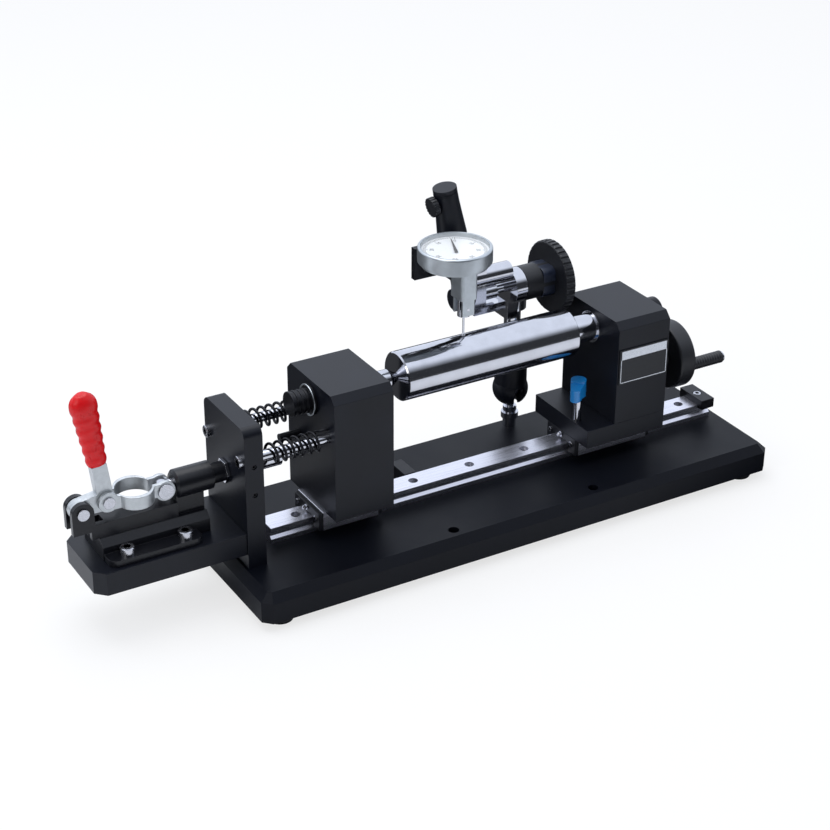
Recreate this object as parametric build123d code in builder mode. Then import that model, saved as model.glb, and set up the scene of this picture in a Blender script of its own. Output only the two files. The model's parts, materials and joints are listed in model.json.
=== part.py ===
"""Bench center: a rail with a headstock and a sprung tailstock, a toggle clamp and an indicator stand.

Millimetres, +X along the rail towards the handwheel, +Y to the back, +Z up.
The origin is on the table, under the middle of the whole outline.
"""

from build123d import *
from math import cos, hypot, pi, sin, sqrt
import os

os.makedirs("parts", exist_ok=True)

# Shared allowances
overrun = 1.0
fit_gap = 0.05
slide_gap = 0.15
air_gap = 0.3

# Base plate and feet
base_length = 360
base_width = 118
base_thickness = 18
edge_chamfer = 5
mount_inset = 11.5
mount_hole_radius = 3.3
foot_height = 5.5
foot_top_radius = 10
foot_bottom_radius = 7.5
foot_inset_x = 15
foot_inset_y = 12
foot_screw_radius = 2
foot_screw_depth = 8
foot_head_radius = 3.5
foot_head_height = 1.8
foot_head_recess = 0.8

# Guide rail, a 15 mm miniature profile guide
rail_width = 15
rail_height = 10
rail_length = 320
rail_margin = 30
rail_waist_depth = 1.6
rail_waist_low = 4.2
rail_waist_high = 7.2
rail_hole_pitch = 40
rail_hole_margin = 20
rail_screw_radius = 1.5
rail_screw_depth = 7
rail_head_radius = 2.9
rail_head_height = 3
rail_head_sink = 4.2
carriage_width = 32
carriage_lift = 4
carriage_top = 16
end_cap_thickness = 2.6
end_cap_inset = 0.6
stop_length = 10
stop_width = 23
stop_height = 4.5
stop_lap = 1.8

# Upright plate and clamp table
plate_margin = 6.5
plate_thickness = 11.5
plate_width = 52
plate_height = 89
plate_corner_radius = 5.5
set_screw_radius = 1.6
set_screw_depth = 3
set_screw_low = 47
set_screw_pitch = 18
table_length = 91
table_width = 50
table_lift = 9
table_thickness = 14
table_corner = 6
table_screw_radius = 2.5
table_head_radius = 4.2
table_head_height = 4.5
table_screw_depth = 14
table_screw_span = 28

# Guide rods and return springs
rod_radius = 3
rod_span = 42
rod_height = 68
rod_reach = 18
rod_seat = 7.5
rod_head_radius = 3.6
rod_head_height = 2.4
rod_screw_radius = 2
rod_screw_grip = 4
rod_bore_depth = 34
spring_room = 43.5
spring_radius = 5.7
wire_radius = 0.85
spring_turns = 6
spring_lead = 4.5

# Tailstock
tail_length = 38.5
block_width = 58
block_top = 96
block_chamfer = 4.5
tail_carriage_length = 42
tail_carriage_show = 4
center_height = 83.5
center_radius = 6
center_reach = 18.5
center_seat = 30
center_half_angle = 30
cone_depth = 4.2
barrel_radius = 7.6
barrel_length = 14
barrel_rib_count = 4
barrel_rib_depth = 0.7
barrel_rib_width = 1.5
barrel_flange_radius = 9.6
barrel_flange_thickness = 2
stop_rod_radius = 2.5
stop_rod_length = 13.5
stop_rod_y = 15
stop_rod_height = 54.5
travel_stop_x = 30
travel_stop_length = 8
travel_stop_width = 18
travel_stop_height = 9
travel_stop_gap = 2.5

# Toggle clamp
clamp_height = 52.5
pin_back = 39.4
link_run = 33.8
link_drop = 2.5
lever_run = 15.7
flange_thickness = 4
flange_width = 44
flange_length = 56
flange_end = 24.5
flange_corner = 5
spine_width = 22.8
spine_height = 8
rib_width = 13.4
rib_height = 9
ear_radius = 6.5
ear_gap = 6.4
ear_thickness = 3.5
ear_drop = 12.5
ear_lap = 4
spine_setback = 8
clamp_screw_span_x = 35
clamp_screw_span_y = 32
clamp_screw_inset = 9
clamp_screw_radius = 2.4
clamp_head_radius = 4.2
clamp_head_height = 4.4
clamp_socket_radius = 2
clamp_screw_depth = 9
sleeve_radius = 8.3
sleeve_round = 1.5
sleeve_neck_radius = 6
sleeve_neck_length = 8
sleeve_start = 6.3
sleeve_end_gap = 2.3
sleeve_web_width = 9
sleeve_web_length = 17
plunger_radius = 3.5
plunger_tip_radius = 5.5
plunger_tip_start = 1.2
plunger_tip_end = 22
plunger_stud_radius = 3.1
plunger_stud_depth = 12
tongue_thickness = 5.8
tongue_radius = 4.5
tongue_length = 8.5
pivot_radius = 2
rivet_head_radius = 3.5
rivet_head_height = 1.1
pin_head_radius = 4.7
link_thickness = 2.6
link_end_radius = 6
link_slot_radius = 3.8
link_height = 8
link_land = 7
link_bow = 7.5
handle_thickness = 6
handle_hub_radius = 6
handle_width = 9
handle_rise = 22.8
handle_back = 3
handle_lean = 8
tang_length = 34
tang_width = 6
tang_thickness = 3
grip_length = 45
grip_stations_share = (0, 0.06, 0.2, 0.32, 0.46, 0.58, 0.74, 0.88, 0.97)
grip_widths_share = (0.62, 0.67, 0.74, 0.8, 0.87, 0.92, 1, 0.97, 0.7)
grip_width = 16
grip_thickness_share = 0.72
nut_radius = 7.5
nut_thickness = 2

# Headstock
head_length = 38
slide_thickness = 12
slide_overhang = 20
head_carriage_length = 57
cover_thickness = 4
cover_width = 40
cover_margin = 9
cavity_half_width = 12
cavity_margin = 12
cavity_roof = 9.3
cavity_length = 14
wheel_height = 49.2
spindle_radius = 6
spindle_flange_radius = 10.1
spindle_flange_thickness = 1.6
nose_radius = 8.75
nose_length = 16.8
nose_slot_count = 4
nose_slot_width = 3
nose_slot_depth = 1.5
nose_slot_length = 6
nose_slot_setback = 2
spindle_tail_radius = 5
bearing_outer_radius = 10.5
bearing_width = 7
bearing_spread = 9.4
bearing_setback = 1.8
shaft_radius = 4
shaft_bearing_radius = 9.5
shaft_bearing_width = 5
shaft_bearing_spread = 6
pulley_radius = 7.2
pulley_flange_radius = 8.6
pulley_flange_thickness = 1
pulley_width = 9
belt_thickness = 1.2
cap_radius = 8.5
cap_length = 11.2
cap_round = 1
wheel_radius = 21.8
wheel_thickness = 11.7
wheel_gap = 17.6
wheel_hub_radius = 8
wheel_hub_length = 12
wheel_round = 1.5
wheel_dish_radius = 17
wheel_dish_depth = 1.5
crank_y = 16
crank_drop = 2.2
crank_radius = 4
crank_length = 23.5
crank_pin_radius = 2.2
crank_pin_head_radius = 3.4
crank_pin_head_height = 0.8
crank_pin_grip = 6
label_length = 36.5
label_height = 23.5
label_lift = 54.8
label_thickness = 0.8
label_inset = 0.9
stud_radius = 2.5
stud_x = 3.5
stud_y = 12
stud_top = 45
stud_grip = 5
lever_hub_radius = 4.8
lever_hub_height = 11
lever_length = 11
lever_tip_radius = 3.2
lever_arm_height = 8
lever_angle = 226.6

# Test mandrel
mandrel_radius = 15
mandrel_length = 120.5
mandrel_chamfer = 0.8

# Indicator stand
stand_clearance = 6.3
stand_offset = 6.5
stand_reach = 50
stem_radius = 4.4
stem_height = 14
stem_collar_radius = 5.6
stem_collar_height = 4
stem_collar_lift = 6
stem_grip_depth = 10
neck_radius = 2.8
ball_radius = 7.2
ball_height = 27
housing_radius = 11.5
housing_neck_radius = 10.4
housing_neck_top = 46
housing_top = 52
housing_top_radius = 7.6
housing_slot_half = 3.3
housing_slot_top = 3
arm_radius = 5.3
arm_foot = 41
arm_top = 95
elbow_y = 32
elbow_height = 107
elbow_radius = 11
elbow_thickness = 7.5
socket_radius = 8.5
socket_low = 84
socket_high = 95.8
elbow_neck_half = 5
elbow_knob_gap = 0.3
knob_hub_length = 11.5
knob_cap_radius = 9.7
knob_cap_length = 9.3
knob_radius = 23
knob_thickness = 6.5
knob_tooth_count = 36
knob_tooth_radius = 1.1
knob_round = 1.5
bar_radius = 2.8
adjuster_left = 8.6
adjuster_web_length = 8.4
adjuster_depth = 10
adjuster_low = 95
adjuster_high = 124
upper_beam_radius = 6
lower_beam_height = 5.2
lower_beam_right = 31
bar_boss_radius = 5
post_x = 3
post_lean_share = -0.185
post_length = 72.5
post_stations_share = (0, 0.395, 0.475, 0.62, 0.79, 0.92, 1)
post_radius = 9
post_radii_share = (0.62, 0.62, 0.956, 1, 0.89, 0.822, 0.806)
post_hub_radius = 6.5
post_hub_left = -4
bar_end_wall = 1
post_cap_thickness = 2.5
post_cap_groove = 0.4
thumb_radius = 6
thumb_standoff = 7.8
thumb_length = 3.6
thumb_height = 66
thumb_tooth_count = 18
thumb_tooth_radius = 0.5
thumb_stud_radius = 2
thumb_stud_reach = 5
holder_ring_radius = 8.4
holder_ring_lift = 26
holder_ring_height = 4.4
holder_thickness = 4
holder_leg_height = 4.4
holder_y = 24
holder_left = -36.6
holder_strip_width = 6.8
holder_strip_height = 20
holder_rod_radius = 3

# Dial indicator
dial_x = -22.5
bezel_radius = 22
bezel_height = 9
bezel_low = 149.3
bezel_wall = 1.9
bezel_ledge = 1
bezel_round = 1.2
case_height = 4.6
case_lap = 2.3
face_radius = 19.9
face_thickness = 1
face_drop = 2.7
crystal_thickness = 0.5
crystal_drop = 0.6
pointer_length = 15
pointer_tail = 5
pointer_width = 1
pointer_thickness = 0.3
pointer_lift = 0.5
pointer_angle = 68
arbor_radius = 0.5
arbor_grip = 3
gauge_x = -16
gauge_length = 11
gauge_width = 14
gauge_low = 124.5
gauge_round = 2
cheek_low = 114
cheek_length = 8
cheek_thickness = 1.4
holder_radius = 3.8
stylus_holder_low = 112.5
stylus_pivot = 118
stylus_pin_radius = 0.9
needle_radius = 0.65
tip_radius = 1.1

# Places worked out from the sizes above
left_overhang = pin_back + link_run + lever_run + ear_radius - plate_margin
base_x = left_overhang / 2
top = foot_height + base_thickness
base_left = base_x - base_length / 2
rail_left = base_left + rail_margin
rail_right = rail_left + rail_length
plate_left = base_left + plate_margin
plate_right = plate_left + plate_thickness
tail_left = plate_right + spring_room
tail_right = tail_left + tail_length
mandrel_left = tail_right + center_reach
mandrel_right = mandrel_left + mandrel_length
flange_x = mandrel_right + nose_length
head_left = flange_x + spindle_flange_thickness
head_right = head_left + head_length
slide_left = head_left - slide_overhang
slide_top = top + carriage_top + slide_thickness
cavity_left = head_right - cover_thickness - cavity_length
cover_left = head_right - cover_thickness
wheel_left = head_right + wheel_gap
wheel_right = wheel_left + wheel_thickness
axis_z = top + center_height
wheel_z = top + wheel_height
clamp_z = top + clamp_height
rod_z = top + rod_height
table_top = top + table_lift + table_thickness
carriage_high = top + carriage_top
pin_x = plate_left - pin_back
joint_x = pin_x - link_run
joint_z = clamp_z + link_drop
handle_x = joint_x - lever_run
knob_right = head_left - stand_clearance
disc_left = knob_right - knob_thickness
cap_left = disc_left - knob_cap_length
knob_left = cap_left - knob_hub_length
elbow_right = knob_left - elbow_knob_gap
elbow_x = elbow_right - elbow_thickness
stand_axis_x = elbow_right + stand_offset
stand_y = base_width / 2 - mount_inset
mount_span_x = 2 * (stand_axis_x - base_x)
arm_zero = stand_axis_x - stand_reach
elbow_z = top + elbow_height
dial_axis_x = arm_zero + dial_x
gauge_axis_x = arm_zero + gauge_x


def face_x(x, y, z):
    """A plane that looks along +X."""
    return Plane(origin=(x, y, z), x_dir=(0, 1, 0), z_dir=(1, 0, 0))


def face_y(x, y, z):
    """A plane that looks to the front, along -Y, with X to the right and Z up."""
    return Plane(origin=(x, y, z), x_dir=(1, 0, 0), z_dir=(0, -1, 0))


def face_z(x, y, z):
    """A plane that looks up."""
    return Plane(origin=(x, y, z))


def bar(plane, radius, length, mode=Mode.ADD):
    """A round bar along the plane's normal."""
    with BuildSketch(plane) as outline:
        Circle(radius)
    extrude(outline.sketch, amount=length, mode=mode)


def block(x_from, x_to, y_from, y_to, z_from, z_to, mode=Mode.ADD):
    """A box between two corners."""
    with BuildSketch(Plane.XY.offset(z_from)) as outline:
        with Locations(((x_from + x_to) / 2, (y_from + y_to) / 2)):
            Rectangle(x_to - x_from, y_to - y_from)
    extrude(outline.sketch, amount=z_to - z_from, mode=mode)


def prism(plane, points, length, mode=Mode.ADD):
    """A closed outline of straight sides, pushed along the plane's normal."""
    with BuildSketch(plane) as outline:
        with BuildLine():
            Polyline(*points, close=True)
        make_face()
    extrude(outline.sketch, amount=length, mode=mode)


def cone(plane, radius, far_radius, length, mode=Mode.ADD):
    """A cone or a taper along the plane's normal."""
    with BuildSketch(plane) as near:
        Circle(radius)
    with BuildSketch(plane.offset(length)) as far:
        Circle(far_radius)
    loft([near.sketch, far.sketch], mode=mode)


# Base plate with its rail, feet and mounting holes
foot_places = [
    (base_x + side * (base_length / 2 - foot_inset_x), end * (base_width / 2 - foot_inset_y))
    for side in (-1, 1)
    for end in (-1, 1)
]
rail_hole_count = int((rail_length - 2 * rail_hole_margin) / rail_hole_pitch + 1)
rail_hole_places = [
    rail_left + rail_hole_margin + number * rail_hole_pitch for number in range(rail_hole_count)
]
rail_screw_low = top + rail_height - rail_head_sink - rail_head_height

with BuildPart() as base_plate:
    block(base_left, base_left + base_length, -base_width / 2, base_width / 2, foot_height, top)
    chamfer(base_plate.edges().filter_by(Axis.Z), length=edge_chamfer)
    chamfer(base_plate.faces().sort_by(Axis.Z)[-1].edges(), length=edge_chamfer)
    for across in (-1, 1):
        for along in (-1, 1):
            x = base_x + along * mount_span_x / 2
            bar(face_z(x, across * stand_y, 0), mount_hole_radius, top + overrun,
                mode=Mode.SUBTRACT)
    for x, y in foot_places:
        bar(face_z(x, y, 0), foot_screw_radius + fit_gap,
            foot_height + foot_screw_depth + fit_gap, mode=Mode.SUBTRACT)
    for x in rail_hole_places:
        bar(face_z(x, 0, top - rail_screw_depth - fit_gap), rail_screw_radius + fit_gap,
            rail_screw_depth + overrun, mode=Mode.SUBTRACT)
base_plate.part.label = "base_plate"
export_step(base_plate.part, "parts/base_plate.step")

with BuildPart() as rubber_feet:
    for x, y in foot_places:
        cone(face_z(x, y, 0), foot_bottom_radius, foot_top_radius, foot_height)
        bar(face_z(x, y, -overrun), foot_screw_radius + fit_gap, foot_height + 2 * overrun,
            mode=Mode.SUBTRACT)
        bar(face_z(x, y, -overrun), foot_head_radius + fit_gap,
            foot_head_recess + foot_head_height + overrun, mode=Mode.SUBTRACT)
rubber_feet.part.label = "rubber_feet"
export_step(rubber_feet.part, "parts/rubber_feet.step")

with BuildPart() as foot_screws:
    for x, y in foot_places:
        bar(face_z(x, y, foot_head_recess), foot_head_radius, foot_head_height)
        bar(face_z(x, y, foot_head_recess), foot_screw_radius,
            foot_height + foot_screw_depth - foot_head_recess)
foot_screws.part.label = "foot_screws"
export_step(foot_screws.part, "parts/foot_screws.step")

half_rail = rail_width / 2
rail_outline = [
    (-half_rail, 0), (half_rail, 0), (half_rail, rail_waist_low - rail_waist_depth),
    (half_rail - rail_waist_depth, rail_waist_low), (half_rail - rail_waist_depth, rail_waist_high),
    (half_rail, rail_waist_high + rail_waist_depth / 2), (half_rail, rail_height),
    (-half_rail, rail_height), (-half_rail, rail_waist_high + rail_waist_depth / 2),
    (rail_waist_depth - half_rail, rail_waist_high), (rail_waist_depth - half_rail, rail_waist_low),
    (-half_rail, rail_waist_low - rail_waist_depth),
]
with BuildPart() as guide_rail:
    prism(face_x(rail_left, 0, top), rail_outline, rail_length)
    for x in rail_hole_places:
        bar(face_z(x, 0, top - overrun), rail_screw_radius + fit_gap, rail_height + 2 * overrun,
            mode=Mode.SUBTRACT)
        bar(face_z(x, 0, rail_screw_low), rail_head_radius + fit_gap, rail_height,
            mode=Mode.SUBTRACT)
guide_rail.part.label = "guide_rail"
export_step(guide_rail.part, "parts/guide_rail.step")

stop_left = rail_right - stop_length
stop_low = top + rail_height - stop_lap
stop_high = top + rail_height + stop_height
with BuildPart() as rail_end_stop:
    block(stop_left, rail_right, -stop_width / 2, stop_width / 2, stop_low, stop_high)
    block(stop_left - overrun, rail_right + overrun, -half_rail, half_rail,
          stop_low - overrun, top + rail_height, mode=Mode.SUBTRACT)
    bar(face_z(stop_left + stop_length / 2, 0, stop_high - rail_head_height), rail_head_radius
        + fit_gap, rail_head_height + overrun, mode=Mode.SUBTRACT)
rail_end_stop.part.label = "rail_end_stop"
export_step(rail_end_stop.part, "parts/rail_end_stop.step")

with BuildPart() as rail_screws:
    for x in rail_hole_places:
        bar(face_z(x, 0, rail_screw_low), rail_head_radius, rail_head_height)
        bar(face_z(x, 0, top - rail_screw_depth), rail_screw_radius,
            rail_screw_depth + rail_screw_low - top)
    bar(face_z(stop_left + stop_length / 2, 0, stop_high - rail_head_height), rail_head_radius,
        rail_head_height)
rail_screws.part.label = "rail_screws"
export_step(rail_screws.part, "parts/rail_screws.step")

with BuildPart() as travel_stop:
    block(tail_right + travel_stop_x, tail_right + travel_stop_x + travel_stop_length,
          half_rail + travel_stop_gap, half_rail + travel_stop_gap + travel_stop_width,
          top, top + travel_stop_height)
travel_stop.part.label = "travel_stop"
export_step(travel_stop.part, "parts/travel_stop.step")

# Upright plate, its screws and the clamp table
rod_places = [(side * rod_span / 2, rod_z) for side in (-1, 1)]
table_z = top + table_lift + table_thickness / 2
table_screw_places = [side * table_screw_span / 2 for side in (-1, 1)]
with BuildPart() as upright_plate:
    block(plate_left, plate_right, -plate_width / 2, plate_width / 2, top, top + plate_height)
    fillet(upright_plate.faces().sort_by(Axis.Z)[-1].edges().filter_by(Axis.X),
           radius=plate_corner_radius)
    bar(face_x(plate_left - overrun, 0, clamp_z), plunger_tip_radius + air_gap,
        plate_thickness + 2 * overrun, mode=Mode.SUBTRACT)
    for y, z in rod_places:
        bar(face_x(plate_right - rod_seat - fit_gap, y, z), rod_radius + fit_gap,
            rod_seat + overrun, mode=Mode.SUBTRACT)
        bar(face_x(plate_left - overrun, y, z), rod_screw_radius + fit_gap, plate_thickness,
            mode=Mode.SUBTRACT)
    for y in table_screw_places:
        bar(face_x(plate_right - table_head_height, y, table_z), table_head_radius + fit_gap,
            table_head_height + overrun, mode=Mode.SUBTRACT)
        bar(face_x(plate_left - overrun, y, table_z), table_screw_radius + fit_gap,
            plate_thickness + overrun, mode=Mode.SUBTRACT)
    for number in range(2):
        height = top + set_screw_low + number * set_screw_pitch
        bar(face_y((plate_left + plate_right) / 2, set_screw_depth - plate_width / 2, height),
            set_screw_radius, set_screw_depth + overrun, mode=Mode.SUBTRACT)
upright_plate.part.label = "upright_plate"
export_step(upright_plate.part, "parts/upright_plate.step")

table_left = plate_left - table_length
with BuildPart() as clamp_table:
    block(table_left, plate_left, -table_width / 2, table_width / 2, top + table_lift, table_top)
    chamfer(clamp_table.edges().filter_by(Axis.Z).group_by(Axis.X)[0], length=table_corner)
    for y in table_screw_places:
        bar(face_x(plate_left - table_screw_depth - fit_gap, y, table_z),
            table_screw_radius + fit_gap, table_screw_depth + overrun, mode=Mode.SUBTRACT)
    for across in (-1, 1):
        for along in (0, 1):
            x = plate_left - flange_end - clamp_screw_inset - along * clamp_screw_span_x
            bar(face_z(x, across * clamp_screw_span_y / 2, table_top - clamp_screw_depth - fit_gap),
                clamp_screw_radius + fit_gap, clamp_screw_depth + overrun, mode=Mode.SUBTRACT)
clamp_table.part.label = "clamp_table"
export_step(clamp_table.part, "parts/clamp_table.step")

with BuildPart() as plate_screws:
    for y, z in rod_places:
        bar(face_x(plate_left - rod_head_height, y, z), rod_head_radius, rod_head_height)
        bar(face_x(plate_left - rod_head_height / 2, y, z), rod_screw_radius,
            rod_screw_grip + rod_head_height / 2)
    for y in table_screw_places:
        bar(face_x(plate_right - table_head_height, y, table_z), table_head_radius,
            table_head_height)
        bar(face_x(plate_left - table_screw_depth, y, table_z), table_screw_radius,
            table_screw_depth + plate_thickness - table_head_height)
plate_screws.part.label = "plate_screws"
export_step(plate_screws.part, "parts/plate_screws.step")

# Guide rods and their return springs
with BuildPart() as guide_rods:
    for y, z in rod_places:
        bar(face_x(plate_right - rod_seat, y, z), rod_radius, rod_seat + spring_room + rod_reach)
guide_rods.part.label = "guide_rods"
export_step(guide_rods.part, "parts/guide_rods.step")


def join_arcs(start, start_way, end, end_way):
    """Two arcs from start to end that leave and arrive along the given directions."""
    run = end - start
    ways = start_way + end_way
    spread = 2 * (1 - start_way.dot(end_way))
    reach = run.dot(ways)
    if spread * run.dot(run) < 1e-9 * reach * reach:
        arm = run.dot(run) / (4 * run.dot(end_way))
    else:
        arm = (sqrt(reach * reach + spread * run.dot(run)) - reach) / spread
    near = start + start_way * arm
    far = end - end_way * arm
    middle = (near + far) * 0.5
    return [
        Edge.make_tangent_arc(start, start_way, middle),
        Edge.make_tangent_arc(middle, (far - near).normalized(), end),
    ]


def spring_wire(x_from, x_to, y, z):
    """The spring's center line: straight ends, and turns of four quarter steps each."""
    straight = 2 * wire_radius
    coil_from = x_from + straight + spring_lead
    coil_to = x_to - straight - spring_lead
    steps = 4 * spring_turns
    rise = (coil_to - coil_from) / steps

    def rim(number, x):
        angle = number * pi / 2
        return Vector(x, y + spring_radius * cos(angle), z + spring_radius * sin(angle))

    def way(number):
        angle = number * pi / 2
        turn = spring_radius * pi / 2
        return Vector(rise, -turn * sin(angle), turn * cos(angle)).normalized()

    along = Vector(1, 0, 0)
    first = rim(-1, x_from)
    last = rim(steps + 1, x_to)
    edges = [Edge.make_line(first, first + along * straight)]
    edges += join_arcs(first + along * straight, along, rim(0, coil_from), way(0))
    for number in range(steps):
        edges += join_arcs(rim(number, coil_from + number * rise), way(number),
                           rim(number + 1, coil_from + (number + 1) * rise), way(number + 1))
    edges += join_arcs(rim(steps, coil_to), way(steps), last - along * straight, along)
    edges.append(Edge.make_line(last - along * straight, last))
    return Wire(edges)


def least_gap(wire, count):
    """The least distance between the tube's skin and itself, past one turn's half."""
    points = [wire.position_at(number / count) for number in range(count + 1)]
    apart = int(count / spring_turns / 2)
    centers = min(
        (points[a] - points[b]).length
        for a in range(count)
        for b in range(a + apart, count + 1)
    )
    return centers - 2 * wire_radius


spring_samples = 360
with BuildPart() as return_springs:
    for y, z in rod_places:
        wire = spring_wire(plate_right, tail_left, y, z)
        with BuildSketch(face_x(plate_right, wire.position_at(0).Y, wire.position_at(0).Z)) as disc:
            Circle(wire_radius)
        sweep(disc.sketch, path=wire)
    print("spring gap to itself", round(least_gap(wire, spring_samples), 2))
return_springs.part.label = "return_springs"
export_step(return_springs.part, "parts/return_springs.step")

# Toggle clamp: casting, screws, nut and pivot
flange_right = plate_left - flange_end
flange_left = flange_right - flange_length
flange_top = table_top + flange_thickness
spine_top = flange_top + spine_height
rib_top = spine_top + rib_height
sleeve_left = pin_x + sleeve_start
sleeve_right = plate_left - sleeve_end_gap
ear_inner = ear_gap / 2
ear_outer = ear_inner + ear_thickness
clamp_screw_places = [
    (flange_right - clamp_screw_inset - along * clamp_screw_span_x, across * clamp_screw_span_y / 2)
    for along in (0, 1)
    for across in (-1, 1)
]
with BuildPart() as clamp_base:
    block(flange_left, flange_right, -flange_width / 2, flange_width / 2, table_top, flange_top)
    fillet(clamp_base.edges().filter_by(Axis.Z), radius=flange_corner)
    block(handle_x + spine_setback, sleeve_left + sleeve_web_length, -spine_width / 2,
          spine_width / 2, table_top, spine_top)
    chamfer(clamp_base.faces().sort_by(Axis.Z)[-1].edges().filter_by(Axis.X),
            length=spine_height / 2)
    block(handle_x + ear_lap, sleeve_left, -rib_width / 2, rib_width / 2, spine_top, rib_top)
    block(sleeve_left, sleeve_left + sleeve_web_length, -sleeve_web_width / 2,
          sleeve_web_width / 2, spine_top, clamp_z)
    bar(face_x(sleeve_left, 0, clamp_z), sleeve_neck_radius, sleeve_right - sleeve_left)
    bar(face_x(sleeve_left + sleeve_round, 0, clamp_z), sleeve_radius,
        sleeve_right - sleeve_neck_length - sleeve_left - sleeve_round)
    cone(face_x(sleeve_left, 0, clamp_z), sleeve_radius - sleeve_round, sleeve_radius, sleeve_round)
    for side in (-1, 1):
        ear_face = side * (ear_inner + ear_outer) / 2 + ear_thickness / 2
        bar(face_y(handle_x, ear_face, clamp_z), ear_radius, ear_thickness)
        block(handle_x - ear_radius, handle_x + ear_radius, ear_face - ear_thickness, ear_face,
              clamp_z - ear_drop, clamp_z)
    block(handle_x - ear_radius - overrun, handle_x + ear_radius + handle_hub_radius,
          -ear_inner, ear_inner, spine_top, clamp_z + 2 * ear_radius, mode=Mode.SUBTRACT)
    bar(face_x(sleeve_left - overrun, 0, clamp_z), plunger_radius + fit_gap,
        sleeve_right - sleeve_left + 2 * overrun, mode=Mode.SUBTRACT)
    bar(face_y(handle_x, ear_outer + overrun, clamp_z), pivot_radius + fit_gap,
        2 * (ear_outer + overrun), mode=Mode.SUBTRACT)
    for x, y in clamp_screw_places:
        bar(face_z(x, y, table_top - overrun), clamp_screw_radius + fit_gap,
            flange_thickness + 2 * overrun, mode=Mode.SUBTRACT)
clamp_base.part.label = "clamp_base"
export_step(clamp_base.part, "parts/clamp_base.step")

with BuildPart() as clamp_screws:
    for x, y in clamp_screw_places:
        bar(face_z(x, y, flange_top), clamp_head_radius, clamp_head_height)
        bar(face_z(x, y, table_top - clamp_screw_depth), clamp_screw_radius,
            clamp_screw_depth + flange_thickness)
        bar(face_z(x, y, flange_top + clamp_head_height / 2), clamp_socket_radius,
            clamp_head_height, mode=Mode.SUBTRACT)
clamp_screws.part.label = "clamp_screws"
export_step(clamp_screws.part, "parts/clamp_screws.step")

with BuildPart() as barrel_nut:
    with BuildSketch(face_x(sleeve_right, 0, clamp_z)):
        RegularPolygon(nut_radius, side_count=6)
        Circle(plunger_radius + air_gap, mode=Mode.SUBTRACT)
    extrude(amount=nut_thickness)
barrel_nut.part.label = "barrel_nut"
export_step(barrel_nut.part, "parts/barrel_nut.step")


def rivet(x, z, reach, head_radius):
    """A round pin across the clamp with a low head at each end."""
    bar(face_y(x, reach, z), pivot_radius, 2 * reach)
    bar(face_y(x, reach + rivet_head_height, z), head_radius, rivet_head_height)
    bar(face_y(x, -reach, z), head_radius, rivet_head_height)


with BuildPart() as handle_pivot:
    rivet(handle_x, clamp_z, ear_outer, rivet_head_radius)
handle_pivot.part.label = "handle_pivot"
export_step(handle_pivot.part, "parts/handle_pivot.step")

# Plunger, tongue and pin, which draw the tailstock back
tongue_half = tongue_thickness / 2
link_inner = handle_thickness / 2 + 2 * fit_gap
link_outer = link_inner + link_thickness
thick_start = plate_right + plunger_tip_start
thick_end = plate_right + plunger_tip_end
with BuildPart() as plunger:
    bar(face_x(pin_x, 0, clamp_z), plunger_radius, thick_start - pin_x)
    for low in (tongue_half, -tongue_half - plunger_radius):
        block(pin_x - overrun, pin_x + tongue_length, low, low + plunger_radius,
              clamp_z - plunger_radius - overrun, clamp_z + plunger_radius + overrun,
              mode=Mode.SUBTRACT)
    bar(face_y(pin_x, tongue_half, clamp_z), tongue_radius, tongue_thickness)
    bar(face_x(thick_start, 0, clamp_z), plunger_tip_radius, thick_end - thick_start)
    bar(face_x(thick_end, 0, clamp_z), plunger_stud_radius,
        tail_left + plunger_stud_depth - thick_end)
    bar(face_y(pin_x, tongue_half + overrun, clamp_z), pivot_radius + fit_gap,
        tongue_thickness + 2 * overrun, mode=Mode.SUBTRACT)
plunger.part.label = "plunger"
export_step(plunger.part, "parts/plunger.step")

with BuildPart() as plunger_pin:
    rivet(pin_x, clamp_z, link_outer + fit_gap, pin_head_radius)
plunger_pin.part.label = "plunger_pin"
export_step(plunger_pin.part, "parts/plunger_pin.step")

# Handle, its pivot to the link, the link and the grip
grip_foot_x = joint_x - handle_back
grip_foot_z = joint_z + handle_rise
lean = Vector(-sin(handle_lean * pi / 180), 0, cos(handle_lean * pi / 180))
grip_plane = Plane(origin=(grip_foot_x, 0, grip_foot_z), x_dir=(-lean.Z, 0, lean.X),
                   z_dir=(lean.X, 0, lean.Z))
half_strip = handle_width / 2
strip_outline = [
    (joint_x - half_strip, clamp_z - link_drop), (joint_x + half_strip, joint_z),
    (grip_foot_x + half_strip * lean.Z, grip_foot_z - half_strip * lean.X),
    (grip_foot_x - half_strip * lean.Z, grip_foot_z + half_strip * lean.X),
]
web_outline = [
    (handle_x, clamp_z - handle_hub_radius + link_drop), (joint_x, joint_z - handle_hub_radius),
    (joint_x, joint_z + handle_hub_radius), (handle_x, clamp_z + handle_hub_radius),
]
handle_face = face_y(0, handle_thickness / 2, 0)
with BuildPart() as clamp_handle:
    bar(face_y(handle_x, handle_thickness / 2, clamp_z), handle_hub_radius, handle_thickness)
    bar(face_y(joint_x, handle_thickness / 2, joint_z), handle_hub_radius, handle_thickness)
    prism(handle_face, web_outline, handle_thickness)
    prism(handle_face, strip_outline, handle_thickness)
    with BuildSketch(grip_plane) as tang:
        Rectangle(tang_width, tang_thickness)
    extrude(tang.sketch, amount=tang_length)
    for x, z in ((handle_x, clamp_z), (joint_x, joint_z)):
        bar(face_y(x, handle_thickness, z), pivot_radius + fit_gap, 2 * handle_thickness,
            mode=Mode.SUBTRACT)
clamp_handle.part.label = "clamp_handle"
export_step(clamp_handle.part, "parts/clamp_handle.step")

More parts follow.
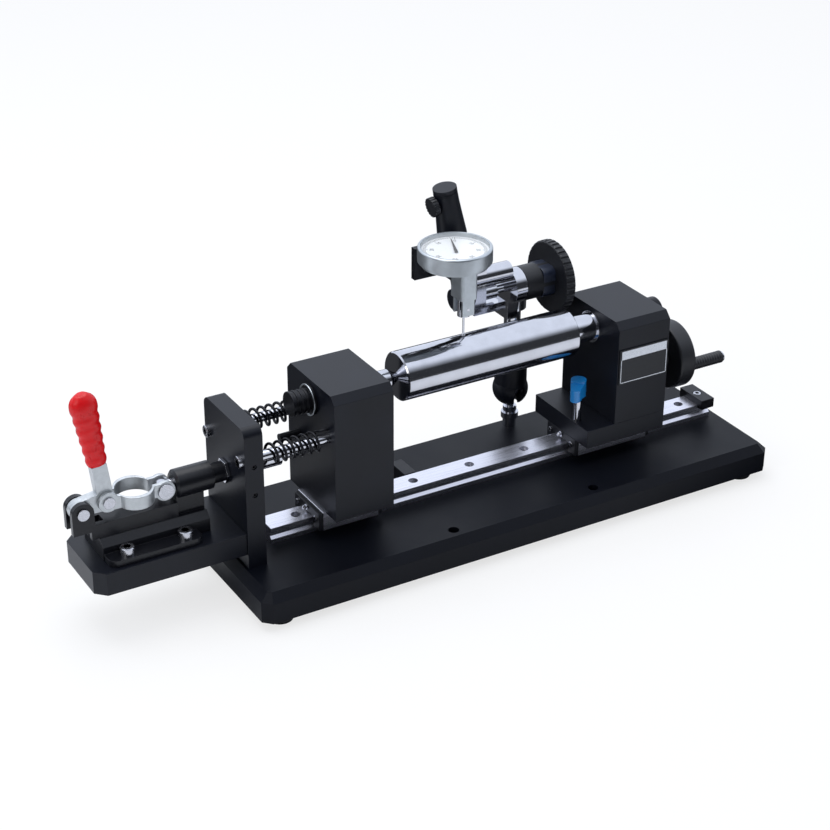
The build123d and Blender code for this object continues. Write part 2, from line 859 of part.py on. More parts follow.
with BuildPart() as handle_grip:
    for station, width in zip(grip_stations_share, grip_widths_share):
        with BuildSketch(grip_plane.offset(station * grip_length)):
            Ellipse(width * grip_width / 2, width * grip_width * grip_thickness_share / 2)
    loft()
    with BuildSketch(grip_plane.offset(-overrun)) as slot:
        Rectangle(tang_width + 2 * fit_gap, tang_thickness + 2 * fit_gap)
    extrude(slot.sketch, amount=tang_length + overrun + fit_gap, mode=Mode.SUBTRACT)
handle_grip.part.label = "handle_grip"
export_step(handle_grip.part, "parts/handle_grip.step")

with BuildPart() as link_pivot:
    rivet(joint_x, joint_z, link_outer + fit_gap, rivet_head_radius)
link_pivot.part.label = "link_pivot"
export_step(link_pivot.part, "parts/link_pivot.step")

link_low = clamp_z + (link_drop - link_height) / 2
bow_left = joint_x + link_land
bow_right = pin_x - link_land
bow_middle = (bow_left + bow_right) / 2
with BuildPart() as clamp_link:
    for side in (-1, 1):
        link_face = side * (link_inner + link_outer) / 2 + link_thickness / 2
        bar(face_y(joint_x, link_face, joint_z), link_end_radius, link_thickness)
        bar(face_y(pin_x, link_face, clamp_z), link_end_radius, link_thickness)
        inner = side * link_inner
        outer = side * link_outer
        with BuildSketch(face_z(0, 0, link_low)) as strip:
            with BuildLine():
                Line((joint_x, inner), (bow_left, inner))
                ThreePointArc((bow_left, inner), (bow_middle, inner + side * link_bow),
                              (bow_right, inner))
                Polyline((bow_right, inner), (pin_x, inner), (pin_x, outer), (bow_right, outer))
                ThreePointArc((bow_right, outer), (bow_middle, outer + side * link_bow),
                              (bow_left, outer))
                Polyline((bow_left, outer), (joint_x, outer), (joint_x, inner))
            make_face()
        extrude(strip.sketch, amount=link_height)
    bar(face_y(joint_x, link_outer + overrun, joint_z), pivot_radius + fit_gap,
        2 * (link_outer + overrun), mode=Mode.SUBTRACT)
    bar(face_y(pin_x, link_outer + overrun, clamp_z), link_slot_radius,
        2 * (link_outer + overrun), mode=Mode.SUBTRACT)
clamp_link.part.label = "clamp_link"
export_step(clamp_link.part, "parts/clamp_link.step")

# Tailstock block, carriage and center
half_block = block_width / 2


def carriage(x_from, length):
    """A ball carriage: steel block, two end caps, and a channel that runs on the rail."""
    half = carriage_width / 2
    cap = half - end_cap_inset
    x_to = x_from + length
    low = top + carriage_lift
    block(x_from + end_cap_thickness, x_to - end_cap_thickness, -half, half, low, carriage_high)
    for start in (x_from, x_to - end_cap_thickness):
        block(start, start + end_cap_thickness, -cap, cap, low, carriage_high - end_cap_inset)
    block(x_from - overrun, x_to + overrun, -half_rail - slide_gap, half_rail + slide_gap,
          low - overrun, top + rail_height + slide_gap, mode=Mode.SUBTRACT)


with BuildPart() as tail_block:
    block(tail_left, tail_right, -half_block, half_block, carriage_high, top + block_top)
    chamfer(tail_block.faces().sort_by(Axis.Z)[-1].edges().filter_by(Axis.X), length=block_chamfer)
    for y, z in rod_places:
        bar(face_x(tail_left - overrun, y, z), rod_radius + fit_gap, rod_bore_depth + overrun,
            mode=Mode.SUBTRACT)
    bar(face_x(tail_right - center_seat, 0, axis_z), center_radius + fit_gap,
        center_seat + overrun, mode=Mode.SUBTRACT)
    bar(face_x(tail_left - overrun, 0, clamp_z), plunger_stud_radius + fit_gap,
        plunger_stud_depth + overrun + fit_gap, mode=Mode.SUBTRACT)
tail_block.part.label = "tail_block"
export_step(tail_block.part, "parts/tail_block.step")

with BuildPart() as tail_carriage:
    carriage(tail_left - tail_carriage_show, tail_carriage_length)
tail_carriage.part.label = "tail_carriage"
export_step(tail_carriage.part, "parts/tail_carriage.step")

cone_slope = sin(center_half_angle * pi / 180) / cos(center_half_angle * pi / 180)
cone_mouth = cone_depth * cone_slope
tip_length = center_radius / cone_slope
tip_x = mandrel_left + cone_depth - air_gap
center_outline = [
    (tail_right - center_seat, 0), (tip_x, 0), (tip_x - tip_length, center_radius),
    (tail_right - center_seat, center_radius),
]
with BuildPart() as tail_center:
    with BuildSketch(face_y(0, 0, axis_z)):
        with BuildLine():
            Polyline(*center_outline, close=True)
        make_face()
    revolve(axis=Axis((0, 0, axis_z), (1, 0, 0)))
tail_center.part.label = "tail_center"
export_step(tail_center.part, "parts/tail_center.step")

rib_pitch = (barrel_length - barrel_flange_thickness) / barrel_rib_count
with BuildPart() as center_barrel:
    bar(face_x(tail_left, 0, axis_z), barrel_flange_radius, -barrel_flange_thickness)
    bar(face_x(tail_left, 0, axis_z), barrel_radius, -barrel_length)
    for number in range(barrel_rib_count):
        groove = tail_left - barrel_length + (number + 0.5) * rib_pitch
        with BuildSketch(face_x(groove, 0, axis_z)) as ring:
            Circle(barrel_radius + overrun)
            Circle(barrel_radius - barrel_rib_depth, mode=Mode.SUBTRACT)
        extrude(ring.sketch, amount=barrel_rib_width, mode=Mode.SUBTRACT)
center_barrel.part.label = "center_barrel"
export_step(center_barrel.part, "parts/center_barrel.step")

with BuildPart() as stop_rod:
    bar(face_x(tail_left - stop_rod_length, stop_rod_y, top + stop_rod_height), stop_rod_radius,
        stop_rod_length)
stop_rod.part.label = "stop_rod"
export_step(stop_rod.part, "parts/stop_rod.step")

# Headstock castings and what they carry
cavity_low = wheel_z - cavity_margin
cavity_high = axis_z + cavity_roof
cover_half = cover_width / 2
cover_low = cavity_low - cover_margin / 2
cover_high = top + block_top - block_chamfer / 2
bearing_room = cavity_left - head_left - bearing_setback
with BuildPart() as head_block:
    block(head_left, head_right, -half_block, half_block, slide_top, top + block_top)
    chamfer(head_block.faces().sort_by(Axis.Z)[-1].edges().filter_by(Axis.X), length=block_chamfer)
    block(cavity_left, head_right + overrun, -cavity_half_width, cavity_half_width, cavity_low,
          cavity_high, mode=Mode.SUBTRACT)
    block(cover_left, head_right + overrun, -cover_half, cover_half, cover_low, cover_high,
          mode=Mode.SUBTRACT)
    bar(face_x(head_left + bearing_setback, 0, axis_z), bearing_outer_radius + fit_gap,
        bearing_room + overrun, mode=Mode.SUBTRACT)
    bar(face_x(head_left - overrun, 0, axis_z), spindle_radius + air_gap,
        bearing_setback + 2 * overrun, mode=Mode.SUBTRACT)
    bar(face_x(head_left + bearing_setback, 0, wheel_z), shaft_bearing_radius + fit_gap,
        bearing_room + overrun, mode=Mode.SUBTRACT)
head_block.part.label = "head_block"
export_step(head_block.part, "parts/head_block.step")

stud_axis_x = slide_left + stud_x
with BuildPart() as slide_plate:
    block(slide_left, head_right, -half_block, half_block, carriage_high, slide_top)
    bar(face_z(stud_axis_x, -stud_y, carriage_high - overrun), stud_radius + fit_gap,
        slide_thickness + 2 * overrun, mode=Mode.SUBTRACT)
slide_plate.part.label = "slide_plate"
export_step(slide_plate.part, "parts/slide_plate.step")

with BuildPart() as head_carriage:
    carriage(slide_left + (slide_overhang + head_length - head_carriage_length) / 2,
             head_carriage_length)
head_carriage.part.label = "head_carriage"
export_step(head_carriage.part, "parts/head_carriage.step")

with BuildPart() as rear_cover:
    block(cover_left, head_right, -cover_half + fit_gap, cover_half - fit_gap,
          cover_low + fit_gap, cover_high - fit_gap)
    bar(face_x(cover_left - overrun, 0, wheel_z), shaft_radius + air_gap,
        cover_thickness + 2 * overrun, mode=Mode.SUBTRACT)
rear_cover.part.label = "rear_cover"
export_step(rear_cover.part, "parts/rear_cover.step")

with BuildPart() as rear_cap:
    bar(face_x(head_right, 0, axis_z), cap_radius, cap_length)
    chamfer(rear_cap.faces().sort_by(Axis.X)[-1].edges(), length=cap_round)
rear_cap.part.label = "rear_cap"
export_step(rear_cap.part, "parts/rear_cap.step")

label_left = head_left + label_inset
with BuildPart() as label_plate:
    block(label_left, label_left + label_length, -half_block - label_thickness, -half_block,
          top + label_lift, top + label_lift + label_height)
label_plate.part.label = "label_plate"
export_step(label_plate.part, "parts/label_plate.step")

spindle_bearing_places = [
    head_left + bearing_setback + number * bearing_spread for number in (0, 1)
]
shaft_bearing_places = [
    head_left + bearing_setback + number * shaft_bearing_spread for number in range(1, 3)
]


def bearing(x, z, inner, outer, width):
    """A closed ball bearing, as one ring."""
    bar(face_x(x, 0, z), outer, width)
    bar(face_x(x - overrun, 0, z), inner + fit_gap, width + 2 * overrun, mode=Mode.SUBTRACT)


with BuildPart() as head_bearings:
    for x in spindle_bearing_places:
        bearing(x, axis_z, spindle_radius, bearing_outer_radius, bearing_width)
    for x in shaft_bearing_places:
        bearing(x, wheel_z, shaft_radius, shaft_bearing_radius, shaft_bearing_width)
head_bearings.part.label = "head_bearings"
export_step(head_bearings.part, "parts/head_bearings.step")

pulley_left = cavity_left + (cavity_length - pulley_width) / 2
belt_left = pulley_left + pulley_flange_thickness + fit_gap
belt_width = pulley_width - 2 * (pulley_flange_thickness + fit_gap)
pulley_drop = axis_z - wheel_z


def belt_ring(radius, mode=Mode.ADD):
    """The outline round both pulleys at one radius, as a solid slot."""
    with BuildSketch(face_x(belt_left, 0, (axis_z + wheel_z) / 2)) as outline:
        SlotOverall(pulley_drop + 2 * radius, 2 * radius, rotation=90)
    extrude(outline.sketch, amount=belt_width, mode=mode)


with BuildPart() as drive_belt:
    belt_ring(pulley_radius + fit_gap + belt_thickness)
    belt_ring(pulley_radius + fit_gap, mode=Mode.SUBTRACT)
drive_belt.part.label = "drive_belt"
export_step(drive_belt.part, "parts/drive_belt.step")

with BuildPart() as lock_stud:
    bar(face_z(stud_axis_x, -stud_y, carriage_high), stud_radius,
        stud_top + stud_grip - carriage_top)
lock_stud.part.label = "lock_stud"
export_step(lock_stud.part, "parts/lock_stud.step")

lever_plane = Plane(origin=(stud_axis_x, -stud_y, top + stud_top + (lever_hub_height
                    - lever_arm_height) / 2)).rotated((0, 0, lever_angle))
with BuildPart() as lock_lever:
    bar(face_z(stud_axis_x, -stud_y, top + stud_top), lever_hub_radius, lever_hub_height)
    with BuildSketch(lever_plane) as arm:
        with BuildLine():
            Polyline((0, -lever_hub_radius), (lever_length, -lever_tip_radius),
                     (lever_length, lever_tip_radius), (0, lever_hub_radius), close=True)
        make_face()
        with Locations((lever_length, 0)):
            Circle(lever_tip_radius)
    extrude(arm.sketch, amount=lever_arm_height)
    bar(face_z(stud_axis_x, -stud_y, top + stud_top - overrun), stud_radius + fit_gap,
        stud_grip + overrun + fit_gap, mode=Mode.SUBTRACT)
lock_lever.part.label = "lock_lever"
export_step(lock_lever.part, "parts/lock_lever.step")

# Spindle, mandrel and drive
spindle_step_x = spindle_bearing_places[-1] + bearing_width
spindle_end = pulley_left + pulley_width
nose_outline = [
    (mandrel_right, nose_radius), (flange_x, nose_radius),
    (flange_x, spindle_flange_radius), (head_left - air_gap / 2, spindle_flange_radius),
    (head_left - air_gap / 2, spindle_radius), (spindle_step_x, spindle_radius),
    (spindle_step_x, spindle_tail_radius), (spindle_end, spindle_tail_radius), (spindle_end, 0),
]
head_tip_x = mandrel_right - cone_depth + air_gap
with BuildPart() as spindle:
    with BuildSketch(face_y(0, 0, axis_z)):
        with BuildLine():
            Polyline((head_tip_x, 0), (mandrel_right, cone_mouth - air_gap * cone_slope),
                     *nose_outline, close=True)
        make_face()
    revolve(axis=Axis((0, 0, axis_z), (1, 0, 0)))
    for number in range(nose_slot_count):
        slot_plane = face_x(mandrel_right + nose_slot_setback, 0, axis_z).rotated(
            (0, 0, number * 360 / nose_slot_count))
        with BuildSketch(slot_plane) as slot:
            with Locations((nose_radius, 0)):
                Rectangle(2 * nose_slot_depth, nose_slot_width)
        extrude(slot.sketch, amount=nose_slot_length, mode=Mode.SUBTRACT)
spindle.part.label = "spindle"
export_step(spindle.part, "parts/spindle.step")

with BuildPart() as test_mandrel:
    bar(face_x(mandrel_left, 0, axis_z), mandrel_radius, mandrel_length)
    chamfer(test_mandrel.edges().filter_by(GeomType.CIRCLE), length=mandrel_chamfer)
    cone(face_x(mandrel_left, 0, axis_z), cone_mouth, fit_gap, cone_depth, mode=Mode.SUBTRACT)
    cone(face_x(mandrel_right - cone_depth, 0, axis_z), fit_gap, cone_mouth, cone_depth,
         mode=Mode.SUBTRACT)
test_mandrel.part.label = "test_mandrel"
export_step(test_mandrel.part, "parts/test_mandrel.step")


def pulley(z, bore):
    """A flanged pulley for the flat belt, with its bore where it is a piece of its own."""
    bar(face_x(pulley_left, 0, z), pulley_radius, pulley_width)
    for x in (pulley_left, pulley_left + pulley_width - pulley_flange_thickness):
        bar(face_x(x, 0, z), pulley_flange_radius, pulley_flange_thickness)
    if bore:
        bar(face_x(pulley_left - overrun, 0, z), bore, pulley_width + 2 * overrun,
            mode=Mode.SUBTRACT)


with BuildPart() as spindle_pulley:
    pulley(axis_z, spindle_tail_radius + fit_gap)
spindle_pulley.part.label = "spindle_pulley"
export_step(spindle_pulley.part, "parts/spindle_pulley.step")

shaft_left = shaft_bearing_places[0]
with BuildPart() as wheel_shaft:
    bar(face_x(shaft_left, 0, wheel_z), shaft_radius, wheel_right - wheel_dish_depth - shaft_left)
    pulley(wheel_z, 0)
wheel_shaft.part.label = "wheel_shaft"
export_step(wheel_shaft.part, "parts/wheel_shaft.step")

crank_z = wheel_z - crank_drop
with BuildPart() as handwheel:
    bar(face_x(wheel_left, 0, wheel_z), wheel_radius, wheel_thickness)
    fillet(handwheel.edges().filter_by(GeomType.CIRCLE), radius=wheel_round)
    bar(face_x(wheel_left - wheel_hub_length, 0, wheel_z), wheel_hub_radius, wheel_hub_length
        + overrun)
    bar(face_x(wheel_right - wheel_dish_depth, 0, wheel_z), wheel_dish_radius - crank_radius,
        wheel_dish_depth + overrun, mode=Mode.SUBTRACT)
    bar(face_x(wheel_left - wheel_hub_length - overrun, 0, wheel_z), shaft_radius + fit_gap,
        wheel_hub_length + wheel_thickness + 2 * overrun, mode=Mode.SUBTRACT)
    bar(face_x(wheel_right - crank_pin_grip - fit_gap, -crank_y, crank_z),
        crank_pin_radius + fit_gap, crank_pin_grip + overrun, mode=Mode.SUBTRACT)
handwheel.part.label = "handwheel"
export_step(handwheel.part, "parts/handwheel.step")

crank_left = wheel_right + air_gap
with BuildPart() as crank_pin:
    bar(face_x(wheel_right - crank_pin_grip, -crank_y, crank_z), crank_pin_radius,
        crank_pin_grip + air_gap + crank_length + crank_pin_head_height)
    bar(face_x(crank_left + crank_length + fit_gap, -crank_y, crank_z), crank_pin_head_radius,
        crank_pin_head_height)
crank_pin.part.label = "crank_pin"
export_step(crank_pin.part, "parts/crank_pin.step")

with BuildPart() as crank_handle:
    bar(face_x(crank_left, -crank_y, crank_z), crank_radius, crank_length)
    fillet(crank_handle.edges().filter_by(GeomType.CIRCLE), radius=crank_radius / 4)
    bar(face_x(crank_left - overrun, -crank_y, crank_z), crank_pin_radius + fit_gap,
        crank_length + 2 * overrun, mode=Mode.SUBTRACT)
crank_handle.part.label = "crank_handle"
export_step(crank_handle.part, "parts/crank_handle.step")

# Indicator stand: foot, ball joint and lower arm
ball_z = top + ball_height
with BuildPart() as stand_foot:
    bar(face_z(stand_axis_x, stand_y, top - stem_grip_depth), mount_hole_radius - fit_gap,
        stem_grip_depth)
    bar(face_z(stand_axis_x, stand_y, top), stem_radius, stem_height)
    bar(face_z(stand_axis_x, stand_y, top + stem_collar_lift), stem_collar_radius,
        stem_collar_height)
    bar(face_z(stand_axis_x, stand_y, top), neck_radius, ball_height)
    with Locations((stand_axis_x, stand_y, ball_z)):
        Sphere(ball_radius)
stand_foot.part.label = "stand_foot"
export_step(stand_foot.part, "parts/stand_foot.step")

with BuildPart() as ball_housing:
    with Locations((stand_axis_x, stand_y, ball_z)):
        Sphere(housing_radius)
    bar(face_z(stand_axis_x, stand_y, ball_z), housing_neck_radius, housing_neck_top - ball_height)
    cone(face_z(stand_axis_x, stand_y, top + housing_neck_top), housing_neck_radius,
         housing_top_radius, housing_top - housing_neck_top)
    with Locations((stand_axis_x, stand_y, ball_z)):
        Sphere(ball_radius + fit_gap, mode=Mode.SUBTRACT)
    block(stand_axis_x - housing_slot_half, stand_axis_x + housing_slot_half,
          stand_y - 2 * housing_radius, stand_y + 2 * housing_radius,
          ball_z - 2 * housing_radius, ball_z + housing_slot_top, mode=Mode.SUBTRACT)
    bar(face_z(stand_axis_x, stand_y, ball_z - 2 * housing_radius), stem_radius + air_gap,
        2 * housing_radius - ball_radius / 2, mode=Mode.SUBTRACT)
    bar(face_z(stand_axis_x, stand_y, top + arm_foot), arm_radius + fit_gap,
        housing_top - arm_foot + overrun, mode=Mode.SUBTRACT)
ball_housing.part.label = "ball_housing"
export_step(ball_housing.part, "parts/ball_housing.step")

with BuildPart() as lower_arm:
    bar(face_z(stand_axis_x, stand_y, top + arm_foot), arm_radius, arm_top - arm_foot)
lower_arm.part.label = "lower_arm"
export_step(lower_arm.part, "parts/lower_arm.step")

# Elbow clamp, its knob and the cross bar
with BuildPart() as elbow_clamp:
    bar(face_x(elbow_x, elbow_y, elbow_z), elbow_radius, elbow_thickness)
    bar(face_z(stand_axis_x, stand_y, top + socket_low), socket_radius, socket_high - socket_low)
    block(elbow_x, elbow_right, elbow_y, stand_y + elbow_neck_half, top + socket_low, elbow_z)
    bar(face_z(stand_axis_x, stand_y, top + socket_low - overrun), arm_radius + fit_gap,
        arm_top + fit_gap - socket_low + overrun, mode=Mode.SUBTRACT)
    bar(face_x(elbow_x - overrun, elbow_y, elbow_z), bar_radius + fit_gap,
        elbow_thickness + 2 * overrun, mode=Mode.SUBTRACT)
elbow_clamp.part.label = "elbow_clamp"
export_step(elbow_clamp.part, "parts/elbow_clamp.step")

bar_end = knob_right - knob_thickness / 2
with BuildPart() as elbow_knob:
    bar(face_x(disc_left, elbow_y, elbow_z), knob_radius, knob_thickness)
    fillet(elbow_knob.edges().filter_by(GeomType.CIRCLE), radius=knob_round)
    with BuildSketch(face_x(disc_left - overrun, elbow_y, elbow_z)) as teeth:
        with PolarLocations(knob_radius, knob_tooth_count):
            Circle(knob_tooth_radius)
    extrude(teeth.sketch, amount=knob_thickness + 2 * overrun, mode=Mode.SUBTRACT)
    bar(face_x(knob_left, elbow_y, elbow_z), elbow_radius, knob_hub_length)
    bar(face_x(cap_left, elbow_y, elbow_z), knob_cap_radius, knob_cap_length + overrun)
    bar(face_x(knob_left - overrun, elbow_y, elbow_z), bar_radius + fit_gap,
        bar_end - knob_left + overrun + fit_gap, mode=Mode.SUBTRACT)
elbow_knob.part.label = "elbow_knob"
export_step(elbow_knob.part, "parts/elbow_knob.step")

bar_start = arm_zero + post_hub_left + bar_end_wall
with BuildPart() as cross_bar:
    bar(face_x(bar_start, elbow_y, elbow_z), bar_radius, bar_end - bar_start)
cross_bar.part.label = "cross_bar"
export_step(cross_bar.part, "parts/cross_bar.step")

web_left = arm_zero + adjuster_left
web_right = web_left + adjuster_web_length
half_web = adjuster_depth / 2
beam_right = elbow_x - air_gap
with BuildPart() as fine_adjuster:
    block(web_left, web_right, elbow_y - half_web, elbow_y + half_web, top + adjuster_low,
          top + adjuster_high)
    bar(face_x(web_left, elbow_y, top + adjuster_high - upper_beam_radius), upper_beam_radius,
        beam_right - web_left)
    block(web_left, arm_zero + lower_beam_right, elbow_y - half_web, elbow_y + half_web,
          top + adjuster_low, top + adjuster_low + lower_beam_height)
    bar(face_x(web_left, elbow_y, elbow_z), bar_boss_radius, 2 * adjuster_web_length)
    bar(face_x(web_left - overrun, elbow_y, elbow_z), bar_radius + fit_gap, beam_right - bar_start,
        mode=Mode.SUBTRACT)
fine_adjuster.part.label = "fine_adjuster"
export_step(fine_adjuster.part, "parts/fine_adjuster.step")

# Upper arm, thumb knob and the bracket that holds the indicator
post_size = hypot(1, post_lean_share)
post_way = Vector(post_lean_share / post_size, 0, 1 / post_size)
cap_top_radius = post_radii_share[-1] * post_radius
hub_left = arm_zero + post_hub_left
post_plane = Plane(origin=(arm_zero + post_x, elbow_y, elbow_z),
                   x_dir=(post_way.Z, 0, -post_way.X), z_dir=(post_way.X, 0, post_way.Z))
with BuildPart() as upper_arm:
    for station, share in zip(post_stations_share, post_radii_share):
        with BuildSketch(post_plane.offset(station * post_length)):
            Circle(share * post_radius)
    loft(ruled=True)
    bar(post_plane.offset(post_length), cap_top_radius - post_cap_groove, post_cap_groove)
    bar(post_plane.offset(post_length + post_cap_groove), cap_top_radius, post_cap_thickness)
    bar(face_x(hub_left, elbow_y, elbow_z), post_hub_radius, web_left - hub_left)
    bar(face_x(bar_start - fit_gap, elbow_y, elbow_z), bar_radius + fit_gap,
        web_left - bar_start + overrun, mode=Mode.SUBTRACT)
    bar(post_plane.offset(thumb_height).rotated((0, -90, 0)), thumb_stud_radius + fit_gap,
        2 * thumb_radius, mode=Mode.SUBTRACT)
upper_arm.part.label = "upper_arm"
export_step(upper_arm.part, "parts/upper_arm.step")

thumb_plane = post_plane.offset(thumb_height).rotated((0, -90, 0))
thumb_start = thumb_standoff
with BuildPart() as thumb_knob:
    bar(thumb_plane.offset(thumb_start), thumb_radius, thumb_length)
    with BuildSketch(thumb_plane.offset(thumb_start - overrun)) as teeth:
        with PolarLocations(thumb_radius, thumb_tooth_count):
            Circle(thumb_tooth_radius)
    extrude(teeth.sketch, amount=thumb_length + 2 * overrun, mode=Mode.SUBTRACT)
    bar(thumb_plane.offset(thumb_start - thumb_stud_reach), thumb_stud_radius, thumb_stud_reach)
thumb_knob.part.label = "thumb_knob"
export_step(thumb_knob.part, "parts/thumb_knob.step")

ring_plane = post_plane.offset(holder_ring_lift - holder_ring_height / 2)
leg_low = elbow_z + holder_ring_lift - holder_leg_height / 2
leg_back = holder_y + holder_thickness / 2
leg_front = holder_y - holder_thickness / 2
leg_right = arm_zero + post_x + post_lean_share * holder_ring_lift
strip_left = arm_zero + holder_left
gauge_back = gauge_width / 2
with BuildPart() as indicator_holder:
    bar(ring_plane, holder_ring_radius, holder_ring_height)
    block(strip_left, leg_right, leg_front, leg_back, leg_low, leg_low + holder_leg_height)
    block(strip_left, strip_left + holder_strip_width, leg_front, leg_back, leg_low,
          leg_low + holder_strip_height)
    bar(ring_plane.offset(-overrun), post_radii_share[0] * post_radius + fit_gap,
        holder_ring_height + 2 * overrun, mode=Mode.SUBTRACT)
    bar(face_y(gauge_axis_x, leg_front, leg_low + holder_leg_height / 2), holder_rod_radius,
        leg_front - gauge_back)
indicator_holder.part.label = "indicator_holder"
export_step(indicator_holder.part, "parts/indicator_holder.step")

# Dial indicator
bezel_z = top + bezel_low
bezel_high = bezel_z + bezel_height
inner_radius = bezel_radius - bezel_wall
case_low = bezel_z - case_height + case_lap
case_top = bezel_z + case_lap
face_top = bezel_high - face_drop
half_gauge = gauge_length / 2
cheek_inner = holder_radius + fit_gap + air_gap / 2
with BuildPart() as indicator_body:
    block(gauge_axis_x - half_gauge, gauge_axis_x + half_gauge, -gauge_back, gauge_back,
          top + gauge_low, case_low)
    fillet(indicator_body.edges().filter_by(Axis.Z), radius=gauge_round)
    bar(face_z(dial_axis_x, 0, case_low), inner_radius - fit_gap, case_height)
    for low in (cheek_inner, -cheek_inner - cheek_thickness):
        block(gauge_axis_x - cheek_length / 2, gauge_axis_x + cheek_length / 2,
              low, low + cheek_thickness, top + cheek_low, top + gauge_low + overrun)
    bar(face_y(gauge_axis_x, cheek_inner + cheek_thickness + overrun, top + stylus_pivot),
        stylus_pin_radius + fit_gap, 2 * (cheek_inner + cheek_thickness + overrun),
        mode=Mode.SUBTRACT)
    bar(face_z(dial_axis_x, 0, case_top - arbor_grip), arbor_radius + fit_gap,
        arbor_grip + overrun, mode=Mode.SUBTRACT)
indicator_body.part.label = "indicator_body"
export_step(indicator_body.part, "parts/indicator_body.step")

with BuildPart() as dial_bezel:
    bar(face_z(dial_axis_x, 0, bezel_z), bezel_radius, bezel_height)
    fillet(dial_bezel.faces().sort_by(Axis.Z)[-1].edges(), radius=bezel_round)
    bar(face_z(dial_axis_x, 0, bezel_z - overrun), inner_radius, case_lap + overrun,
        mode=Mode.SUBTRACT)
    bar(face_z(dial_axis_x, 0, bezel_z), inner_radius - bezel_ledge, bezel_height,
        mode=Mode.SUBTRACT)
    bar(face_z(dial_axis_x, 0, face_top - face_thickness), inner_radius, face_drop
        + face_thickness + overrun, mode=Mode.SUBTRACT)
dial_bezel.part.label = "dial_bezel"
export_step(dial_bezel.part, "parts/dial_bezel.step")

with BuildPart() as dial_face:
    bar(face_z(dial_axis_x, 0, face_top - face_thickness), inner_radius - fit_gap, face_thickness)
    bar(face_z(dial_axis_x, 0, face_top - 2 * face_thickness), 2 * arbor_radius,
        4 * face_thickness, mode=Mode.SUBTRACT)
dial_face.part.label = "dial_face"
export_step(dial_face.part, "parts/dial_face.step")

crystal_top = bezel_high - crystal_drop
with BuildPart() as crystal:
    bar(face_z(dial_axis_x, 0, crystal_top - crystal_thickness), inner_radius - fit_gap,
        crystal_thickness)
crystal.part.label = "crystal"
export_step(crystal.part, "parts/crystal.step")

pointer_z = face_top + pointer_lift
pointer_plane = Plane(origin=(dial_axis_x, 0, pointer_z)).rotated((0, 0, pointer_angle))
with BuildPart() as pointer:
    prism(pointer_plane, [(-pointer_tail, -pointer_width), (pointer_length, -pointer_width / 5),
                          (pointer_length, pointer_width / 5), (-pointer_tail, pointer_width)],
          pointer_thickness)
    bar(face_z(dial_axis_x, 0, case_top - arbor_grip), arbor_radius,
        pointer_z - case_top + arbor_grip + pointer_thickness)
pointer.part.label = "pointer"
export_step(pointer.part, "parts/pointer.step")

tip_z = axis_z + mandrel_radius + air_gap + tip_radius
with BuildPart() as stylus:
    bar(face_z(gauge_axis_x, 0, top + stylus_holder_low), holder_radius,
        gauge_low - stylus_holder_low - air_gap)
    bar(face_y(gauge_axis_x, cheek_inner + cheek_thickness, top + stylus_pivot),
        stylus_pin_radius, 2 * (cheek_inner + cheek_thickness))
    bar(face_z(gauge_axis_x, 0, tip_z), needle_radius, top + stylus_holder_low - tip_z)
    with Locations((gauge_axis_x, 0, tip_z)):
        Sphere(tip_radius)
stylus.part.label = "stylus"
export_step(stylus.part, "parts/stylus.step")
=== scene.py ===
"""Dresses the bench center: rounded castings, screws, dial marks, finishes and the photographed view."""

import json
from collections import namedtuple
from math import cos, pi, radians, sin

import bmesh
import bpy
from bpy.props import FloatProperty, FloatVectorProperty, IntProperty, PointerProperty
from bpy.types import Operator, Panel, PropertyGroup
from mathutils import Matrix, Vector


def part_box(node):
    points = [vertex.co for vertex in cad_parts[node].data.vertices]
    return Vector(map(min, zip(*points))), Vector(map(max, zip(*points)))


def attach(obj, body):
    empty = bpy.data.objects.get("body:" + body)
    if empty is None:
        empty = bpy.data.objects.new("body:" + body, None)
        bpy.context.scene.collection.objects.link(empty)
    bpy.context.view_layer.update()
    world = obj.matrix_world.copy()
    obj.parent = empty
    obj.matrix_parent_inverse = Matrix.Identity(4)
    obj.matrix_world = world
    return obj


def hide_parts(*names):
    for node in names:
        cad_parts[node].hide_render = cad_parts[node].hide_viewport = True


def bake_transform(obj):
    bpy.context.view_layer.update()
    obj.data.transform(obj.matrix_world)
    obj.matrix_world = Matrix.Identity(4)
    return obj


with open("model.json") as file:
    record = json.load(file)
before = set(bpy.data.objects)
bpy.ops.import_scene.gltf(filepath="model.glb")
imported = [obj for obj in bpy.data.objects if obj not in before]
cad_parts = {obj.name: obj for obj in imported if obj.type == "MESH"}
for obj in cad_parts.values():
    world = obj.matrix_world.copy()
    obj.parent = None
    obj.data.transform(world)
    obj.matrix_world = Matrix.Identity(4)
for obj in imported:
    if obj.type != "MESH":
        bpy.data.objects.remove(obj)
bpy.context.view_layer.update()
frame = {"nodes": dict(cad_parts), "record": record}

bl_info = {
    "name": "Bench center",
    "version": (1, 0, 0),
    "blender": (4, 5, 0),
    "location": "View3D > Sidebar > Bench center",
    "description": "Builds the visible pieces of a bench center round its packed solids",
    "category": "Object",
}

MM = 0.001
AXIS_X = Vector((1, 0, 0))
AXIS_Y = Vector((0, 1, 0))
AXIS_Z = Vector((0, 0, 1))
BODY_OF = {
    node: body for body, members in frame["record"]["behaviour"]["bodies"].items() for node in members
}
SLOT_OF = {part["node"]: part["material_slot"] for part in frame["record"]["subparts"]}

# The photographed view, from a fit to the plate's corners and the rail's holes
VIEW_FROM = Vector((-530.1, -892.9, 628.8)) * MM
VIEW_AZIMUTH = radians(30.415)
VIEW_ELEVATION = radians(27.99)
VIEW_ROLL = radians(0.23)
VIEW_LENS = 85.44
VIEW_SHIFT = 0.0026


